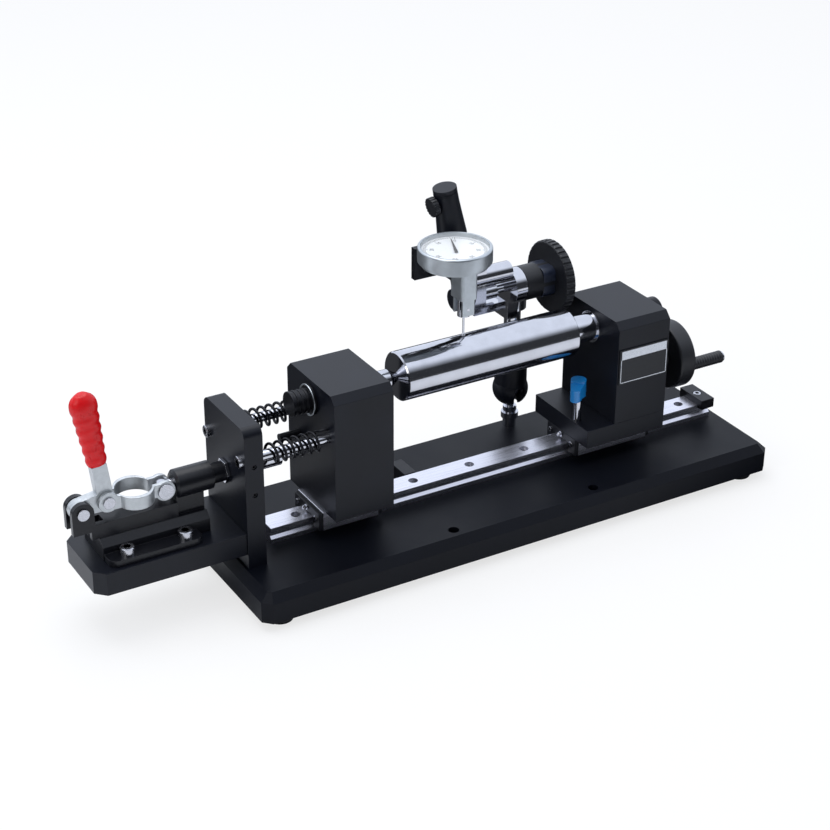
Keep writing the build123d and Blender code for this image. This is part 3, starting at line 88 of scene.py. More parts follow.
def linear(hex_colour):
    """A linear RGBA colour from an sRGB hex value."""
    channels = [int(hex_colour[at:at + 2], 16) / 255 for at in (1, 3, 5)]
    return tuple(
        c / 12.92 if c <= 0.04045 else ((c + 0.055) / 1.055) ** 2.4 for c in channels
    ) + (1.0,)


# Sizes and colours that a user would change


def length(name, description, millimetres):
    """A length property, given in millimetres."""
    return FloatProperty(name=name, description=description, default=millimetres * MM, unit="LENGTH")


def colour(name, description, hex_colour):
    """A colour property, given as an sRGB hex value."""
    return FloatVectorProperty(name=name, description=description, subtype="COLOR", size=4,
                               default=linear(hex_colour), min=0, max=1)


class EdgeSizes(PropertyGroup):
    """How far edges are broken."""

    painted: length("Painted edges", "Rounding of the painted blocks' edges", 0.9)
    machined: length("Machined edges", "Rounding of turned and milled steel edges", 0.35)
    stamped: length("Stamped edges", "Rounding of the toggle clamp's plates", 0.6)
    moulded: length("Moulded edges", "Rounding of plastic edges", 0.7)
    small: length("Small edges", "Rounding of screw heads and pins", 0.2)


class DialSizes(PropertyGroup):
    """The dial's printed marks."""

    divisions: IntProperty(name="Divisions", description="Marks round the dial", default=80, min=10)
    numbered: IntProperty(name="Numbers", description="Numbered marks round the dial", default=8, min=2)
    number_step: IntProperty(name="Number step", description="From one number to the next", default=10)
    bezel_wall: length("Bezel wall", "Thickness of the bezel's wall", 1.9)
    rim_gap: length("Rim gap", "From the printed marks to the bezel", 1.3)
    short_mark: length("Short mark", "Length of a plain mark", 1.8)
    long_mark: length("Long mark", "Length of a numbered mark", 3.0)
    mark_width: length("Mark width", "Width of a printed mark", 0.36)
    ink: length("Ink", "Thickness of the print", 0.04)
    figure: length("Figure height", "Height of the printed numbers", 3.4)


class FinishColours(PropertyGroup):
    """The main colours."""

    enamel: colour("Enamel", "Blue-black enamel of plates and blocks", "#0a0d16")
    black_plastic: colour("Knob plastic", "Moulded knobs and the handwheel", "#0d0f15")
    grip: colour("Grip", "Dipped vinyl grip of the toggle handle", "#d40a12")
    lever: colour("Lever", "Glass-filled nylon of the lock lever", "#0578bd")
    chrome: colour("Chrome", "Hard chrome and ground pins", "#c8c9cf")
    rail: colour("Rail steel", "Ground rail and carriages", "#dfdfe8")
    zinc: colour("Zinc", "Zinc-plated pressings", "#c3c7c9")
    satin: colour("Satin chrome", "Indicator case and stand fittings", "#b9bfc3")
    dial: colour("Dial", "Lacquered dial face", "#f2f4f4")
    oxide: colour("Black oxide", "Springs, screws and stops", "#101116")


# Materials


def add(tree, kind, values=None, links=None, **settings):
    """Adds a node with its settings, its sockets' values and the sockets that feed it."""
    made = tree.nodes.new(kind)
    for name, value in settings.items():
        setattr(made, name, value)
    for name, value in (values or {}).items():
        made.inputs[name].default_value = value
    for name, source in (links or {}).items():
        tree.links.new(source, made.inputs[name])
    return made


# A pattern's size in millimetres, its stretch along each axis and the detail of its noise. Grinding
# lines, blasting grit and the eroded grain of moulded pieces are finer than a picture shows, so
# they are drawn as coarse as they need to be
Grain = namedtuple("Grain", "size_mm stretch detail", defaults=((1, 1, 1), 2.0))
NOISE_LOW = 0.3
NOISE_HIGH = 0.7


def new_material(name):
    """An empty node material, its tree and its object coordinates."""
    made = bpy.data.materials.new(name)
    made.use_nodes = True
    made.node_tree.nodes.clear()
    place = add(made.node_tree, "ShaderNodeTexCoord").outputs["Object"]
    return made, made.node_tree, place


def finish(name, fixed, tone=None, roughness=None, relief=None):
    """A material whose tone, roughness and relief each follow a grain.

    Tone and roughness are a grain and the two ends that they wander between, and relief is a grain,
    its strength and its depth in millimetres.
    """
    made, tree, place = new_material(name)
    noises = {}
    for grain in dict.fromkeys(part[0] for part in (tone, roughness, relief) if part):
        across = [1 / (grain.size_mm * MM * factor) for factor in grain.stretch]
        mapped = add(tree, "ShaderNodeMapping", {"Scale": across}, {"Vector": place})
        noise = add(tree, "ShaderNodeTexNoise", {"Scale": 1.0, "Detail": grain.detail, "Roughness": 0.5},
                    {"Vector": mapped.outputs[0]})
        noises[grain] = noise.outputs["Fac"]
    links = {}
    if tone:
        grain, dark, light = tone
        share = add(tree, "ShaderNodeMapRange", {"From Min": NOISE_LOW, "From Max": NOISE_HIGH},
                    {"Value": noises[grain]})
        mixed = add(tree, "ShaderNodeMix", {6: dark, 7: light}, {0: share.outputs[0]}, data_type="RGBA")
        links["Base Color"] = mixed.outputs[2]
    if roughness:
        grain, low, high = roughness
        spread = add(tree, "ShaderNodeMapRange", {"From Min": NOISE_LOW, "From Max": NOISE_HIGH,
                                                  "To Min": low, "To Max": high},
                     {"Value": noises[grain]})
        links["Roughness"] = spread.outputs[0]
    if relief:
        grain, strength, depth = relief
        raised = add(tree, "ShaderNodeBump", {"Strength": strength, "Distance": depth * MM},
                     {"Height": noises[grain]})
        links["Normal"] = raised.outputs[0]
    face = add(tree, "ShaderNodeBsdfPrincipled", fixed, links)
    add(tree, "ShaderNodeOutputMaterial", links={"Surface": face.outputs[0]})
    return made


def shades(value, *factors):
    """A colour made darker or lighter by each factor."""
    return [tuple(min(1.0, channel * factor) for channel in value[:3]) + (1.0,) for factor in factors]


def baked_enamel(colours):
    """Stoving enamel on machined steel: sprayed and baked, so it is glossy with a faint orange peel."""
    peel = Grain(0.9)
    drift = Grain(24, detail=4.0)
    return finish("baked_enamel", {"Roughness": 0.4, "Specular IOR Level": 0.28},
                  tone=(drift, *shades(colours.enamel, 0.85, 1.25)), relief=(peel, 0.12, 0.05))


def oiled_black(colours):
    """Base plate: the blocks' enamel made darker as painted shade, and smoother than the enamelled
    blocks.
    """
    film = Grain(30, detail=4.0)
    mill = Grain(0.5, stretch=(40, 1, 1))
    return finish("oiled_black", {"Specular IOR Level": 0.14},
                  tone=(film, *shades(colours.enamel, 0.6, 0.9)), roughness=(film, 0.36, 0.46),
                  relief=(mill, 0.05, 0.01))


def cast_enamel(colours):
    """Black enamel over a sand casting: the coarser skin of the casting shows through."""
    skin = Grain(1.6, detail=5.0)
    return finish("cast_enamel", {"Roughness": 0.3, "Specular IOR Level": 0.35},
                  tone=(skin, *shades(colours.oxide, 0.8, 1.3)), relief=(skin, 0.35, 0.12))


def ground_steel(colours):
    """Bearing steel, surface ground along the rail: fine straight lines lie along X."""
    lines = Grain(0.25, stretch=(160, 1, 1), detail=3.0)
    return finish("ground_steel", {"Metallic": 1.0},
                  tone=(lines, *shades(colours.rail, 0.86, 1.08)), roughness=(lines, 0.24, 0.36),
                  relief=(lines, 0.15, 0.02))


def hard_chrome(colours):
    """Hard chrome, ground round its axis: a mirror with the finest rings across X."""
    rings = Grain(0.18, stretch=(1, 220, 220))
    haze = Grain(9, detail=3.0)
    return finish("hard_chrome", {"Metallic": 1.0},
                  tone=(haze, *shades(colours.chrome, 0.95, 1.05)), roughness=(rings, 0.07, 0.13),
                  relief=(rings, 0.05, 0.01))


def bright_zinc(colours):
    """Pressed steel with bright zinc plating: a soft cloudy sheen with the press's faint drag marks."""
    cloud = Grain(3.5, detail=5.0)
    drag = Grain(0.35, stretch=(14, 1, 3))
    return finish("bright_zinc", {"Metallic": 0.85},
                  tone=(cloud, *shades(colours.zinc, 0.84, 1.08)), roughness=(cloud, 0.32, 0.46),
                  relief=(drag, 0.1, 0.04))


def black_oxide(colours):
    """Oil-blackened steel: dark, with a dull metal sheen that varies where fingers have been."""
    wear = Grain(2.2, detail=4.0)
    return finish("black_oxide", {"Metallic": 0.55, "Specular IOR Level": 0.5},
                  tone=(wear, *shades(colours.oxide, 0.8, 1.9)), roughness=(wear, 0.3, 0.45),
                  relief=(wear, 0.08, 0.03))


def screw_steel(colours):
    """Bright steel screws and rivets: turned faces with a light haze."""
    haze = Grain(0.8, detail=3.0)
    return finish("screw_steel", {"Metallic": 1.0},
                  tone=(haze, *shades(colours.chrome, 0.75, 1.0)), roughness=(haze, 0.18, 0.3))


def satin_chrome(colours):
    """Blasted brass under satin chrome: an even grey sheen with a very fine grit."""
    grit = Grain(0.22)
    cloud = Grain(6, detail=3.0)
    return finish("satin_chrome", {"Metallic": 0.9},
                  tone=(cloud, *shades(colours.satin, 0.9, 1.06)), roughness=(grit, 0.3, 0.42),
                  relief=(grit, 0.12, 0.02))


def moulded_plastic(colours):
    """Glass-filled nylon, moulded in a spark-eroded tool: matt with an even fine grain."""
    pits = Grain(0.45)
    return finish("moulded_plastic", {"IOR": 1.53},
                  tone=(pits, *shades(colours.black_plastic, 0.8, 1.25)), roughness=(pits, 0.38, 0.52),
                  relief=(pits, 0.2, 0.05))


def dipped_vinyl(colours):
    """Plastisol dip: a soft glossy skin with slow runs, and light enters it a little."""
    runs = Grain(5, stretch=(1, 1, 2))
    return finish("dipped_vinyl",
                  {"IOR": 1.53, "Subsurface Weight": 0.08, "Subsurface Radius": (0.6, 0.1, 0.05),
                   "Subsurface Scale": 1.5 * MM, "Specular IOR Level": 0.3},
                  tone=(runs, *shades(colours.grip, 0.88, 1.05)), roughness=(runs, 0.26, 0.36),
                  relief=(runs, 0.1, 0.25))


def blue_nylon(colours):
    """Moulded nylon lever: a satin skin over a strong blue, with a fine eroded grain."""
    pits = Grain(0.5)
    return finish("blue_nylon", {"IOR": 1.53, "Coat Weight": 0.25, "Coat Roughness": 0.2},
                  tone=(pits, *shades(colours.lever, 0.9, 1.08)), roughness=(pits, 0.32, 0.42),
                  relief=(pits, 0.1, 0.04))


def foot_rubber(colours):
    """Moulded nitrile rubber: matt, slightly bloomed black."""
    bloom = Grain(1.2, detail=4.0)
    return finish("foot_rubber", {"IOR": 1.52},
                  tone=(bloom, *shades(colours.oxide, 0.8, 1.5)), roughness=(bloom, 0.7, 0.85),
                  relief=(bloom, 0.15, 0.05))


def dial_lacquer(colours):
    """White lacquer on a thin dial plate: silk gloss with the slightest mottle."""
    mottle = Grain(1.5, detail=3.0)
    return finish("dial_lacquer", {"Roughness": 0.35},
                  tone=(mottle, *shades(colours.dial, 0.97, 1.0)), relief=(mottle, 0.03, 0.01))


def printed_ink(colours):
    """Screen-printed black ink on the dial: flat and a little uneven."""
    return finish("printed_ink", {"Roughness": 0.5},
                  tone=(Grain(0.3), *shades(colours.oxide, 0.7, 1.6)))


def mineral_crystal(colours):
    """A flat mineral glass: clear, with a faint reflection that its polish leaves even."""
    return finish("mineral_crystal", {"Base Color": (1, 1, 1, 1), "Alpha": 0.08},
                  roughness=(Grain(4), 0.03, 0.06))


def knob_cap(colours):
    """Smooth moulded cap of a knob: glossier than the knob, and coloured a lighter blue-grey as painted
    sheen.
    """
    flow = Grain(3, detail=3.0)
    return finish("knob_cap", {"IOR": 1.53},
                  tone=(flow, linear("#1a2030"), linear("#262e40")), roughness=(flow, 0.28, 0.36))


def printed_white(colours):
    """White screen print on the label: flat, and a little uneven."""
    return finish("printed_white", {"Roughness": 0.5},
                  tone=(Grain(0.4), linear("#c8ccd2"), linear("#e8eaee")))


def label_film(colours):
    """Black label foil on aluminium: smooth, with a faint brushed grain along its length."""
    brushed = Grain(0.3, stretch=(60, 1, 1))
    return finish("label_film", {"Specular IOR Level": 0.4},
                  tone=(brushed, linear("#0a0b10"), linear("#14161c")), roughness=(brushed, 0.3, 0.4))


def end_cap_resin(colours):
    """Black acetal end caps of the carriages: moulded, silk matt."""
    flow = Grain(0.6)
    return finish("end_cap_resin", {"IOR": 1.48},
                  tone=(flow, linear("#0e0f14"), linear("#191b22")), roughness=(flow, 0.35, 0.5))


MATERIAL_OF_SLOT = {
    "black_paint": baked_enamel, "cast_black": cast_enamel, "ground_steel": ground_steel,
    "chrome": hard_chrome, "zinc_plate": bright_zinc, "screw_steel": screw_steel,
    "black_oxide": black_oxide, "satin_silver": satin_chrome, "foot_rubber": foot_rubber,
    "black_plastic": moulded_plastic, "red_grip": dipped_vinyl, "blue_lever": blue_nylon,
    "dial_white": dial_lacquer, "clear_crystal": mineral_crystal, "belt_rubber": foot_rubber,
}
made_materials = {}


def material(maker):
    """The material that a maker gives, made once."""
    if maker not in made_materials:
        made_materials[maker] = maker(bpy.context.scene.center_colours)
    return made_materials[maker]


# Shapes

WELD = 0.001 * MM
SOLID_WELD = 0.002 * MM
FLAT_ANGLE = radians(0.6)
SHARP_ANGLE = 35
BEVEL_ANGLE = radians(28)
BEVEL_SEGMENTS = 3
HEAD_SEGMENTS = 24
SOCKET_SIDES = 6
HEAD_RIM_SHARE = 0.12
SOCKET_FLOOR_SHARE = 0.45


def tidy(shape):
    """Merges doubles and turns the faces outwards."""
    bmesh.ops.remove_doubles(shape, verts=shape.verts, dist=WELD)
    bmesh.ops.recalc_face_normals(shape, faces=shape.faces)


def soften(shape, width):
    """Rounds every edge that isn't nearly flat."""
    edges = [e for e in shape.edges if e.is_manifold and abs(e.calc_face_angle(0)) > BEVEL_ANGLE]
    if edges and width > 0:
        bmesh.ops.bevel(shape, geom=edges, offset=width, offset_type="OFFSET",
                        segments=BEVEL_SEGMENTS, profile=0.5, affect="EDGES", clamp_overlap=True,
                        material=-1)


def place_piece(name, shape, maker, body, replaced=(), sharp=SHARP_ANGLE):
    """Writes a shape to an object with its material. It rides on the body, if one is given."""
    mesh = bpy.data.meshes.new(name)
    shape.to_mesh(mesh)
    shape.free()
    mesh.polygons.foreach_set("use_smooth", [True] * len(mesh.polygons))
    mesh.set_sharp_from_angle(angle=radians(sharp))
    mesh.materials.append(material(maker))
    made = bpy.data.objects.new(name, mesh)
    bpy.context.scene.collection.objects.link(made)
    even = made.modifiers.new("even_faces", "WEIGHTED_NORMAL")
    even.keep_sharp = True
    if body:
        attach(made, body)
    if replaced:
        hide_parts(*replaced)
    return made


def node_shape(node):
    """A node's own shape with its triangles merged into whole faces."""
    shape = bmesh.new()
    shape.from_mesh(frame["nodes"][node].data)
    bmesh.ops.remove_doubles(shape, verts=shape.verts, dist=SOLID_WELD)
    bmesh.ops.dissolve_limit(shape, angle_limit=FLAT_ANGLE, verts=shape.verts, edges=shape.edges,
                             use_dissolve_boundaries=False)
    return shape


def rounded(node, width, maker=None):
    """A node's shape with broken edges, in place of the node."""
    shape = node_shape(node)
    soften(shape, width)
    slot = SLOT_OF[node]
    return place_piece(f"{node}_dressed", shape, maker or MATERIAL_OF_SLOT[slot], BODY_OF[node],
                       (node,))


def ring_steps(shape, center, direction, outline, steps):
    """Spins an outline of (distance along, radius) points round a line."""
    along = direction.normalized()
    side = along.orthogonal().normalized()
    verts = [shape.verts.new(center + along * reach + side * radius) for reach, radius in outline]
    edges = [shape.edges.new(pair) for pair in zip(verts, verts[1:])]
    bmesh.ops.spin(shape, geom=verts + edges, cent=center, axis=along, angle=2 * pi, steps=steps,
                   use_merge=True, use_duplicate=False)


def turned(name, center, direction, outline, maker, body, steps, sharp=SHARP_ANGLE):
    """A turned piece from an outline of (distance along, radius) in metres."""
    shape = bmesh.new()
    ring_steps(shape, center, direction, outline, steps)
    tidy(shape)
    return place_piece(name, shape, maker, body, sharp=sharp)


def in_metres(outline):
    """An outline's points, which are given in millimetres."""
    return [(along * MM, radius * MM) for along, radius in outline]


def loft(shape, rings):
    """Joins loops of edges one to the next, and closes both ends."""
    for near, far in zip(rings, rings[1:]):
        bmesh.ops.bridge_loops(shape, edges=near + far)
    for end in (rings[0], rings[-1]):
        bmesh.ops.edgeloop_fill(shape, edges=end)


def ring(shape, place, radius, segments):
    """A circle's edges, placed by a matrix whose Z is the circle's axis."""
    made = bmesh.ops.create_circle(shape, cap_ends=False, segments=segments, radius=radius,
                                   matrix=place)
    return list(dict.fromkeys(edge for vert in made["verts"] for edge in vert.link_edges))


def facing(center, direction):
    """A matrix at the center whose Z looks along the direction."""
    turn = AXIS_Z.rotation_difference(direction.normalized()).to_matrix().to_4x4()
    return Matrix.Translation(center) @ turn


def socket_head(shape, center, direction, radius, height, socket):
    """A screw head with a round rim and a hexagon socket."""
    place = facing(center, direction)
    rim = height * HEAD_RIM_SHARE
    rings = [ring(shape, place @ Matrix.Translation((0, 0, lift)), wide, count)
             for lift, wide, count in (
                 (0, radius, HEAD_SEGMENTS), (height - rim, radius, HEAD_SEGMENTS),
                 (height, radius - rim, HEAD_SEGMENTS), (height, socket, SOCKET_SIDES),
                 (height * SOCKET_FLOOR_SHARE, socket, SOCKET_SIDES))]
    loft(shape, rings)


def boxed(shape, low, high):
    """A box between two corners."""
    made = bmesh.ops.create_cube(shape, size=1)
    bmesh.ops.scale(shape, verts=made["verts"], vec=high - low)
    bmesh.ops.translate(shape, verts=made["verts"], vec=(low + high) / 2)


def span(node):
    """The low corner, the high corner and the middle of a solid's box."""
    low, high = (Vector(corner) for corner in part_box(node))
    return low, high, (low + high) / 2


# Screw heads: radius, height and the socket's radius
CLAMP_HEAD = (4.2 * MM, 4.4 * MM, 2.2 * MM)
ROD_HEAD = (3.6 * MM, 2.4 * MM, 1.7 * MM)
RAIL_HEAD = (2.85 * MM, 2.9 * MM, 1.3 * MM)
STOP_HEAD = (2.8 * MM, 2.9 * MM, 1.4 * MM)
SET_SCREW = (1.5 * MM, 2.4 * MM, 0.8 * MM)

# The seats of the guide rods' screw heads on the upright plate
ROD_SEATS = [Vector((-129.05, y, 91.5)) * MM for y in (-21, 21)]

# Where the other screws stand: beside the middle line, and sunk below the face round them
CLAMP_SCREW_SIDE = 16 * MM
TABLE_SCREW_SIDE = 14 * MM
TABLE_SCREW_SINK = 0.1 * MM
RAIL_SCREW_COUNT = 8
RAIL_SCREW_MARGIN = 20 * MM
RAIL_SCREW_PITCH = 40 * MM
RAIL_SCREW_SINK = 1.7 * MM
STOP_SCREW_SINK = 0.1 * MM
SET_SCREW_SINK = 0.6 * MM
SET_SCREW_LEVELS = (70.5 * MM, 88.5 * MM)

# Outlines of (distance along, radius) in millimetres. The barrel ring's radii count from its flange's
GREASE_NIPPLE = ((0, 1.9), (0.6, 1.9), (0.6, 1.1), (1.6, 1.1), (2.2, 1.4), (2.8, 0.9), (3, 0))
BARREL_RING = ((0, -1.1), (-0.35, -0.9), (-0.45, -0.5), (-0.35, -0.1), (0, 0))
NIPPLE_STEPS = 16
RING_STEPS = 64
MANDREL_STEPS = 128

# The toggle's grip: its foot, lean and length, and the shares of its length where it changes
GRIP_FOOT = Vector((-205.25, 0, 101.3)) * MM
GRIP_LEAN = radians(8)
GRIP_LENGTH = 45 * MM
GRIP_THICKNESS_SHARE = 0.72
GRIP_WIDEST_SHARE = 0.8
GRIP_GROOVES_FROM_SHARE = 0.1
GRIP_GROOVE_WAVES = 7
GRIP_FOOT_SHARE = 0.04
GRIP_FOOT_TAPER_SHARE = 0.12
GRIP_TIP_SHARE = 0.12
GRIP_TIP_POWER = 2.6
GRIP_STEPS = 36
GRIP_SEGMENTS = 40

# The crank's handle
CRANK_BORE = 2.1 * MM
CRANK_FOOT_CORNER = 0.4 * MM
CRANK_CORNER = 0.6 * MM
CRANK_RIBS_FROM = 2 * MM
CRANK_RIBS_RUN = 19.5 * MM
CRANK_RIBS = 10
CRANK_POINTS_PER_RIB = 3
CRANK_STEPS = 32


# Pieces


class CENTER_OT_finishes(Operator):
    """Gives every solid of the frame its finish."""

    bl_idname = "center.finishes"
    bl_label = "Finishes"

    def execute(self, context):
        for node, solid in frame["nodes"].items():
            solid.data.materials.clear()
            solid.data.materials.append(material(MATERIAL_OF_SLOT[SLOT_OF[node]]))
        return {"FINISHED"}


class CENTER_OT_castings(Operator):
    """Painted plates, blocks and housings with rounded edges."""

    bl_idname = "center.castings"
    bl_label = "Plates and blocks"

    def execute(self, context):
        edges = context.scene.center_edges
        for node in ("upright_plate", "clamp_table", "tail_block", "head_block", "slide_plate",
                     "rear_cover"):
            rounded(node, edges.painted)
        # The base plate takes the enamel made darker, as painted shade
        rounded("base_plate", edges.painted, oiled_black)
        for node in ("ball_housing", "rear_cap"):
            rounded(node, edges.machined)
        rounded("clamp_base", edges.stamped)
        return {"FINISHED"}


class CENTER_OT_springs(Operator):
    """Coil springs between the upright plate and the tailstock."""

    bl_idname = "center.springs"
    bl_label = "Return springs"

    sharp: IntProperty(name="Sharp angle", default=60,
                       description="Degrees past which the wire's edges stay sharp")

    def execute(self, context):
        made = place_piece("coil_springs", node_shape("return_springs"), black_oxide, None,
                           ("return_springs",), self.sharp)
        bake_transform(made)
        return {"FINISHED"}


class CENTER_OT_machined(Operator):
    """Rail, stops, pins, spindle, toggle handle, and the metal of the indicator and its stand."""

    bl_idname = "center.machined"
    bl_label = "Rail and machined steel"

    def execute(self, context):
        edges = context.scene.center_edges
        for node in ("guide_rail", "rail_end_stop", "travel_stop", "center_barrel",
                     "indicator_holder", "indicator_body", "lower_arm"):
            rounded(node, edges.machined)
        for node in ("elbow_clamp", "fine_adjuster"):
            rounded(node, edges.machined, hard_chrome)
        for node in ("barrel_nut", "handle_pivot", "link_pivot", "plunger_pin", "stop_rod",
                     "cross_bar", "spindle", "crank_pin", "lock_stud"):
            rounded(node, edges.small)
        rounded("clamp_handle", edges.stamped)
        return {"FINISHED"}


class CENTER_OT_turned(Operator):
    """Ground mandrel with its center holes, and the bright ring of the tailstock barrel."""

    bl_idname = "center.turned"
    bl_label = "Mandrel and ring"

    hole: length("Center hole", "Radius of the mandrel's center holes", 2.4)
    hole_depth: length("Hole depth", "Depth of the mandrel's center holes", 4.1)
    corner: length("Corner", "Chamfer of the mandrel's ends", 0.8)
    flange: length("Flange", "Thickness of the barrel's flange on the block", 2.0)
    sharp: IntProperty(name="Sharp angle", default=20,
                       description="Degrees past which the mandrel's edges stay sharp")

    def execute(self, context):
        low, high, middle = span("test_mandrel")
        run = high.x - low.x
        half = [(self.hole_depth, 0), (0, self.hole), (0, high.y - self.corner),
                (self.corner, high.y)]
        profile = half + [(run - reach, wide) for reach, wide in reversed(half)]
        mandrel = turned("ground_mandrel", Vector((low.x, 0, middle.z)), AXIS_X, profile, hard_chrome,
                         "work_spindle", MANDREL_STEPS, self.sharp)
        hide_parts("test_mandrel")
        _, high, middle = span("center_barrel")
        at = span("tail_block")[0].x - self.flange
        rim = [(along, high.y + radius) for along, radius in in_metres(BARREL_RING)]
        turned("barrel_ring", Vector((at, 0, middle.z)), AXIS_X, rim, satin_chrome, "tailstock",
               RING_STEPS)
        return {"FINISHED"}


class CENTER_OT_carriages(Operator):
    """Ball carriages: steel blocks between black end caps, with cap screws and a grease nipple each."""

    bl_idname = "center.carriages"
    bl_label = "Ball carriages"

    cap_length: length("Cap length", "Thickness of one end cap", 2.6)
    screw_radius: length("Screw radius", "Radius of a cap screw's head", 1.7)
    screw_height: length("Screw height", "Height of a cap screw's head", 0.9)
    screw_socket: length("Screw socket", "Radius of a cap screw's socket", 0.8)
    screw_side: length("Screw side", "From the carriage's middle line to a cap screw", 11.5)
    screw_lift: length("Screw lift", "From the carriage's foot to the cap screws", 7.2)
    nipple_drop: length("Nipple drop", "From the carriage's top to the grease nipple", 2.9)

    def execute(self, context):
        edges = context.scene.center_edges
        for node in ("tail_carriage", "head_carriage"):
            made = rounded(node, edges.machined)
            low, high, _ = span(node)
            made.data.materials.append(material(end_cap_resin))
            for face in made.data.polygons:
                inside = low.x + self.cap_length < face.center.x < high.x - self.cap_length
                face.material_index = 0 if inside else 1
            fittings = bmesh.new()
            for end, outwards in ((low.x, -AXIS_X), (high.x, AXIS_X)):
                for across in (-self.screw_side, self.screw_side):
                    socket_head(fittings, Vector((end, across, low.z + self.screw_lift)), outwards,
                                self.screw_radius, self.screw_height, self.screw_socket)
            nipple = Vector((low.x, 0, high.z - self.nipple_drop))
            ring_steps(fittings, nipple, -AXIS_X, in_metres(GREASE_NIPPLE), NIPPLE_STEPS)
            tidy(fittings)
            place_piece(f"{node}_fittings", fittings, screw_steel, BODY_OF[node])
        return {"FINISHED"}


class CENTER_OT_screws(Operator):
    """Hexagon socket screws of the clamp, the plates and the rail."""

    bl_idname = "center.screws"
    bl_label = "Socket screws"

    def execute(self, context):
        clamp = bmesh.new()
        low, high, _ = span("clamp_screws")
        radius, height, _ = CLAMP_HEAD
        for x in (high.x - radius, low.x + radius):
            for y in (-CLAMP_SCREW_SIDE, CLAMP_SCREW_SIDE):
                socket_head(clamp, Vector((x, y, high.z - height)), AXIS_Z, *CLAMP_HEAD)
        tidy(clamp)
        place_piece("clamp_screw_heads", clamp, screw_steel, "base", ("clamp_screws",))

        plate = bmesh.new()
        for seat in ROD_SEATS:
            socket_head(plate, seat, -AXIS_X, *ROD_HEAD)
        high = span("upright_plate")[1]
        table = span("clamp_table")[2]
        _, height, _ = CLAMP_HEAD
        for y in (-TABLE_SCREW_SIDE, TABLE_SCREW_SIDE):
            socket_head(plate, Vector((high.x - TABLE_SCREW_SINK - height, y, table.z)), AXIS_X,
                        *CLAMP_HEAD)
        tidy(plate)
        place_piece("plate_screw_heads", plate, screw_steel, "base", ("plate_screws",))

        rail = bmesh.new()
        low, high, _ = span("guide_rail")
        _, height, _ = RAIL_HEAD
        for number in range(RAIL_SCREW_COUNT):
            x = low.x + RAIL_SCREW_MARGIN + number * RAIL_SCREW_PITCH
            socket_head(rail, Vector((x, 0, high.z - RAIL_SCREW_SINK - height)), AXIS_Z, *RAIL_HEAD)
        _, high, middle = span("rail_end_stop")
        _, height, _ = STOP_HEAD
        socket_head(rail, Vector((middle.x, 0, high.z - STOP_SCREW_SINK - height)), AXIS_Z, *STOP_HEAD)
        tidy(rail)
        place_piece("rail_screw_heads", rail, screw_steel, "base", ("rail_screws",))

        grub = bmesh.new()
        low, _, middle = span("upright_plate")
        _, height, _ = SET_SCREW
        for z in SET_SCREW_LEVELS:
            socket_head(grub, Vector((middle.x, low.y + SET_SCREW_SINK + height, z)), -AXIS_Y,
                        *SET_SCREW)
        tidy(grub)
        place_piece("plate_set_screws", grub, black_oxide, "base")
        return {"FINISHED"}


class CENTER_OT_toggle(Operator):
    """Dipped grip and the looped link of the toggle clamp."""

    bl_idname = "center.toggle"
    bl_label = "Toggle clamp"

    grip_low: length("Grip foot", "Half the grip's width at its foot", 5.9)
    grip_high: length("Grip head", "Half the grip's width near its top", 8.0)
    ridge: length("Ridge", "Depth of the grip's shallow finger grooves", 0.7)
    sharp: IntProperty(name="Sharp angle", default=60,
                       description="Degrees past which the grip's edges stay sharp")

    def half_width(self, share):
        """Half the grip's width at a share of its length: a narrow foot, grooves and a round tip."""
        half = self.grip_low + (self.grip_high - self.grip_low) * min(1, share / GRIP_WIDEST_SHARE)
        if GRIP_GROOVES_FROM_SHARE < share < GRIP_WIDEST_SHARE:
            half -= self.ridge * (1 + cos(2 * pi * GRIP_GROOVE_WAVES * share)) / 2
        if share > GRIP_WIDEST_SHARE:
            past = (share - GRIP_WIDEST_SHARE) / (1 - GRIP_WIDEST_SHARE)
            half *= max(GRIP_TIP_SHARE, 1 - past ** GRIP_TIP_POWER) ** 0.5
        if share < GRIP_FOOT_SHARE:
            half *= 1 - GRIP_FOOT_TAPER_SHARE * (1 - share / GRIP_FOOT_SHARE)
        return half

    def execute(self, context):
        shape = bmesh.new()
        rise = Vector((-sin(GRIP_LEAN), 0, cos(GRIP_LEAN)))
        flat = Matrix.Diagonal((1, GRIP_THICKNESS_SHARE, 1, 1))
        rings = []
        for number in range(GRIP_STEPS + 1):
            share = number / GRIP_STEPS
            place = facing(GRIP_FOOT + rise * share * GRIP_LENGTH, rise)
            rings.append(ring(shape, place @ flat, self.half_width(share), GRIP_SEGMENTS))
        loft(shape, rings)
        tidy(shape)
        place_piece("dipped_grip", shape, dipped_vinyl, "toggle_handle",
                    ("handle_grip",), self.sharp)
        rounded("clamp_link", context.scene.center_edges.stamped)
        return {"FINISHED"}


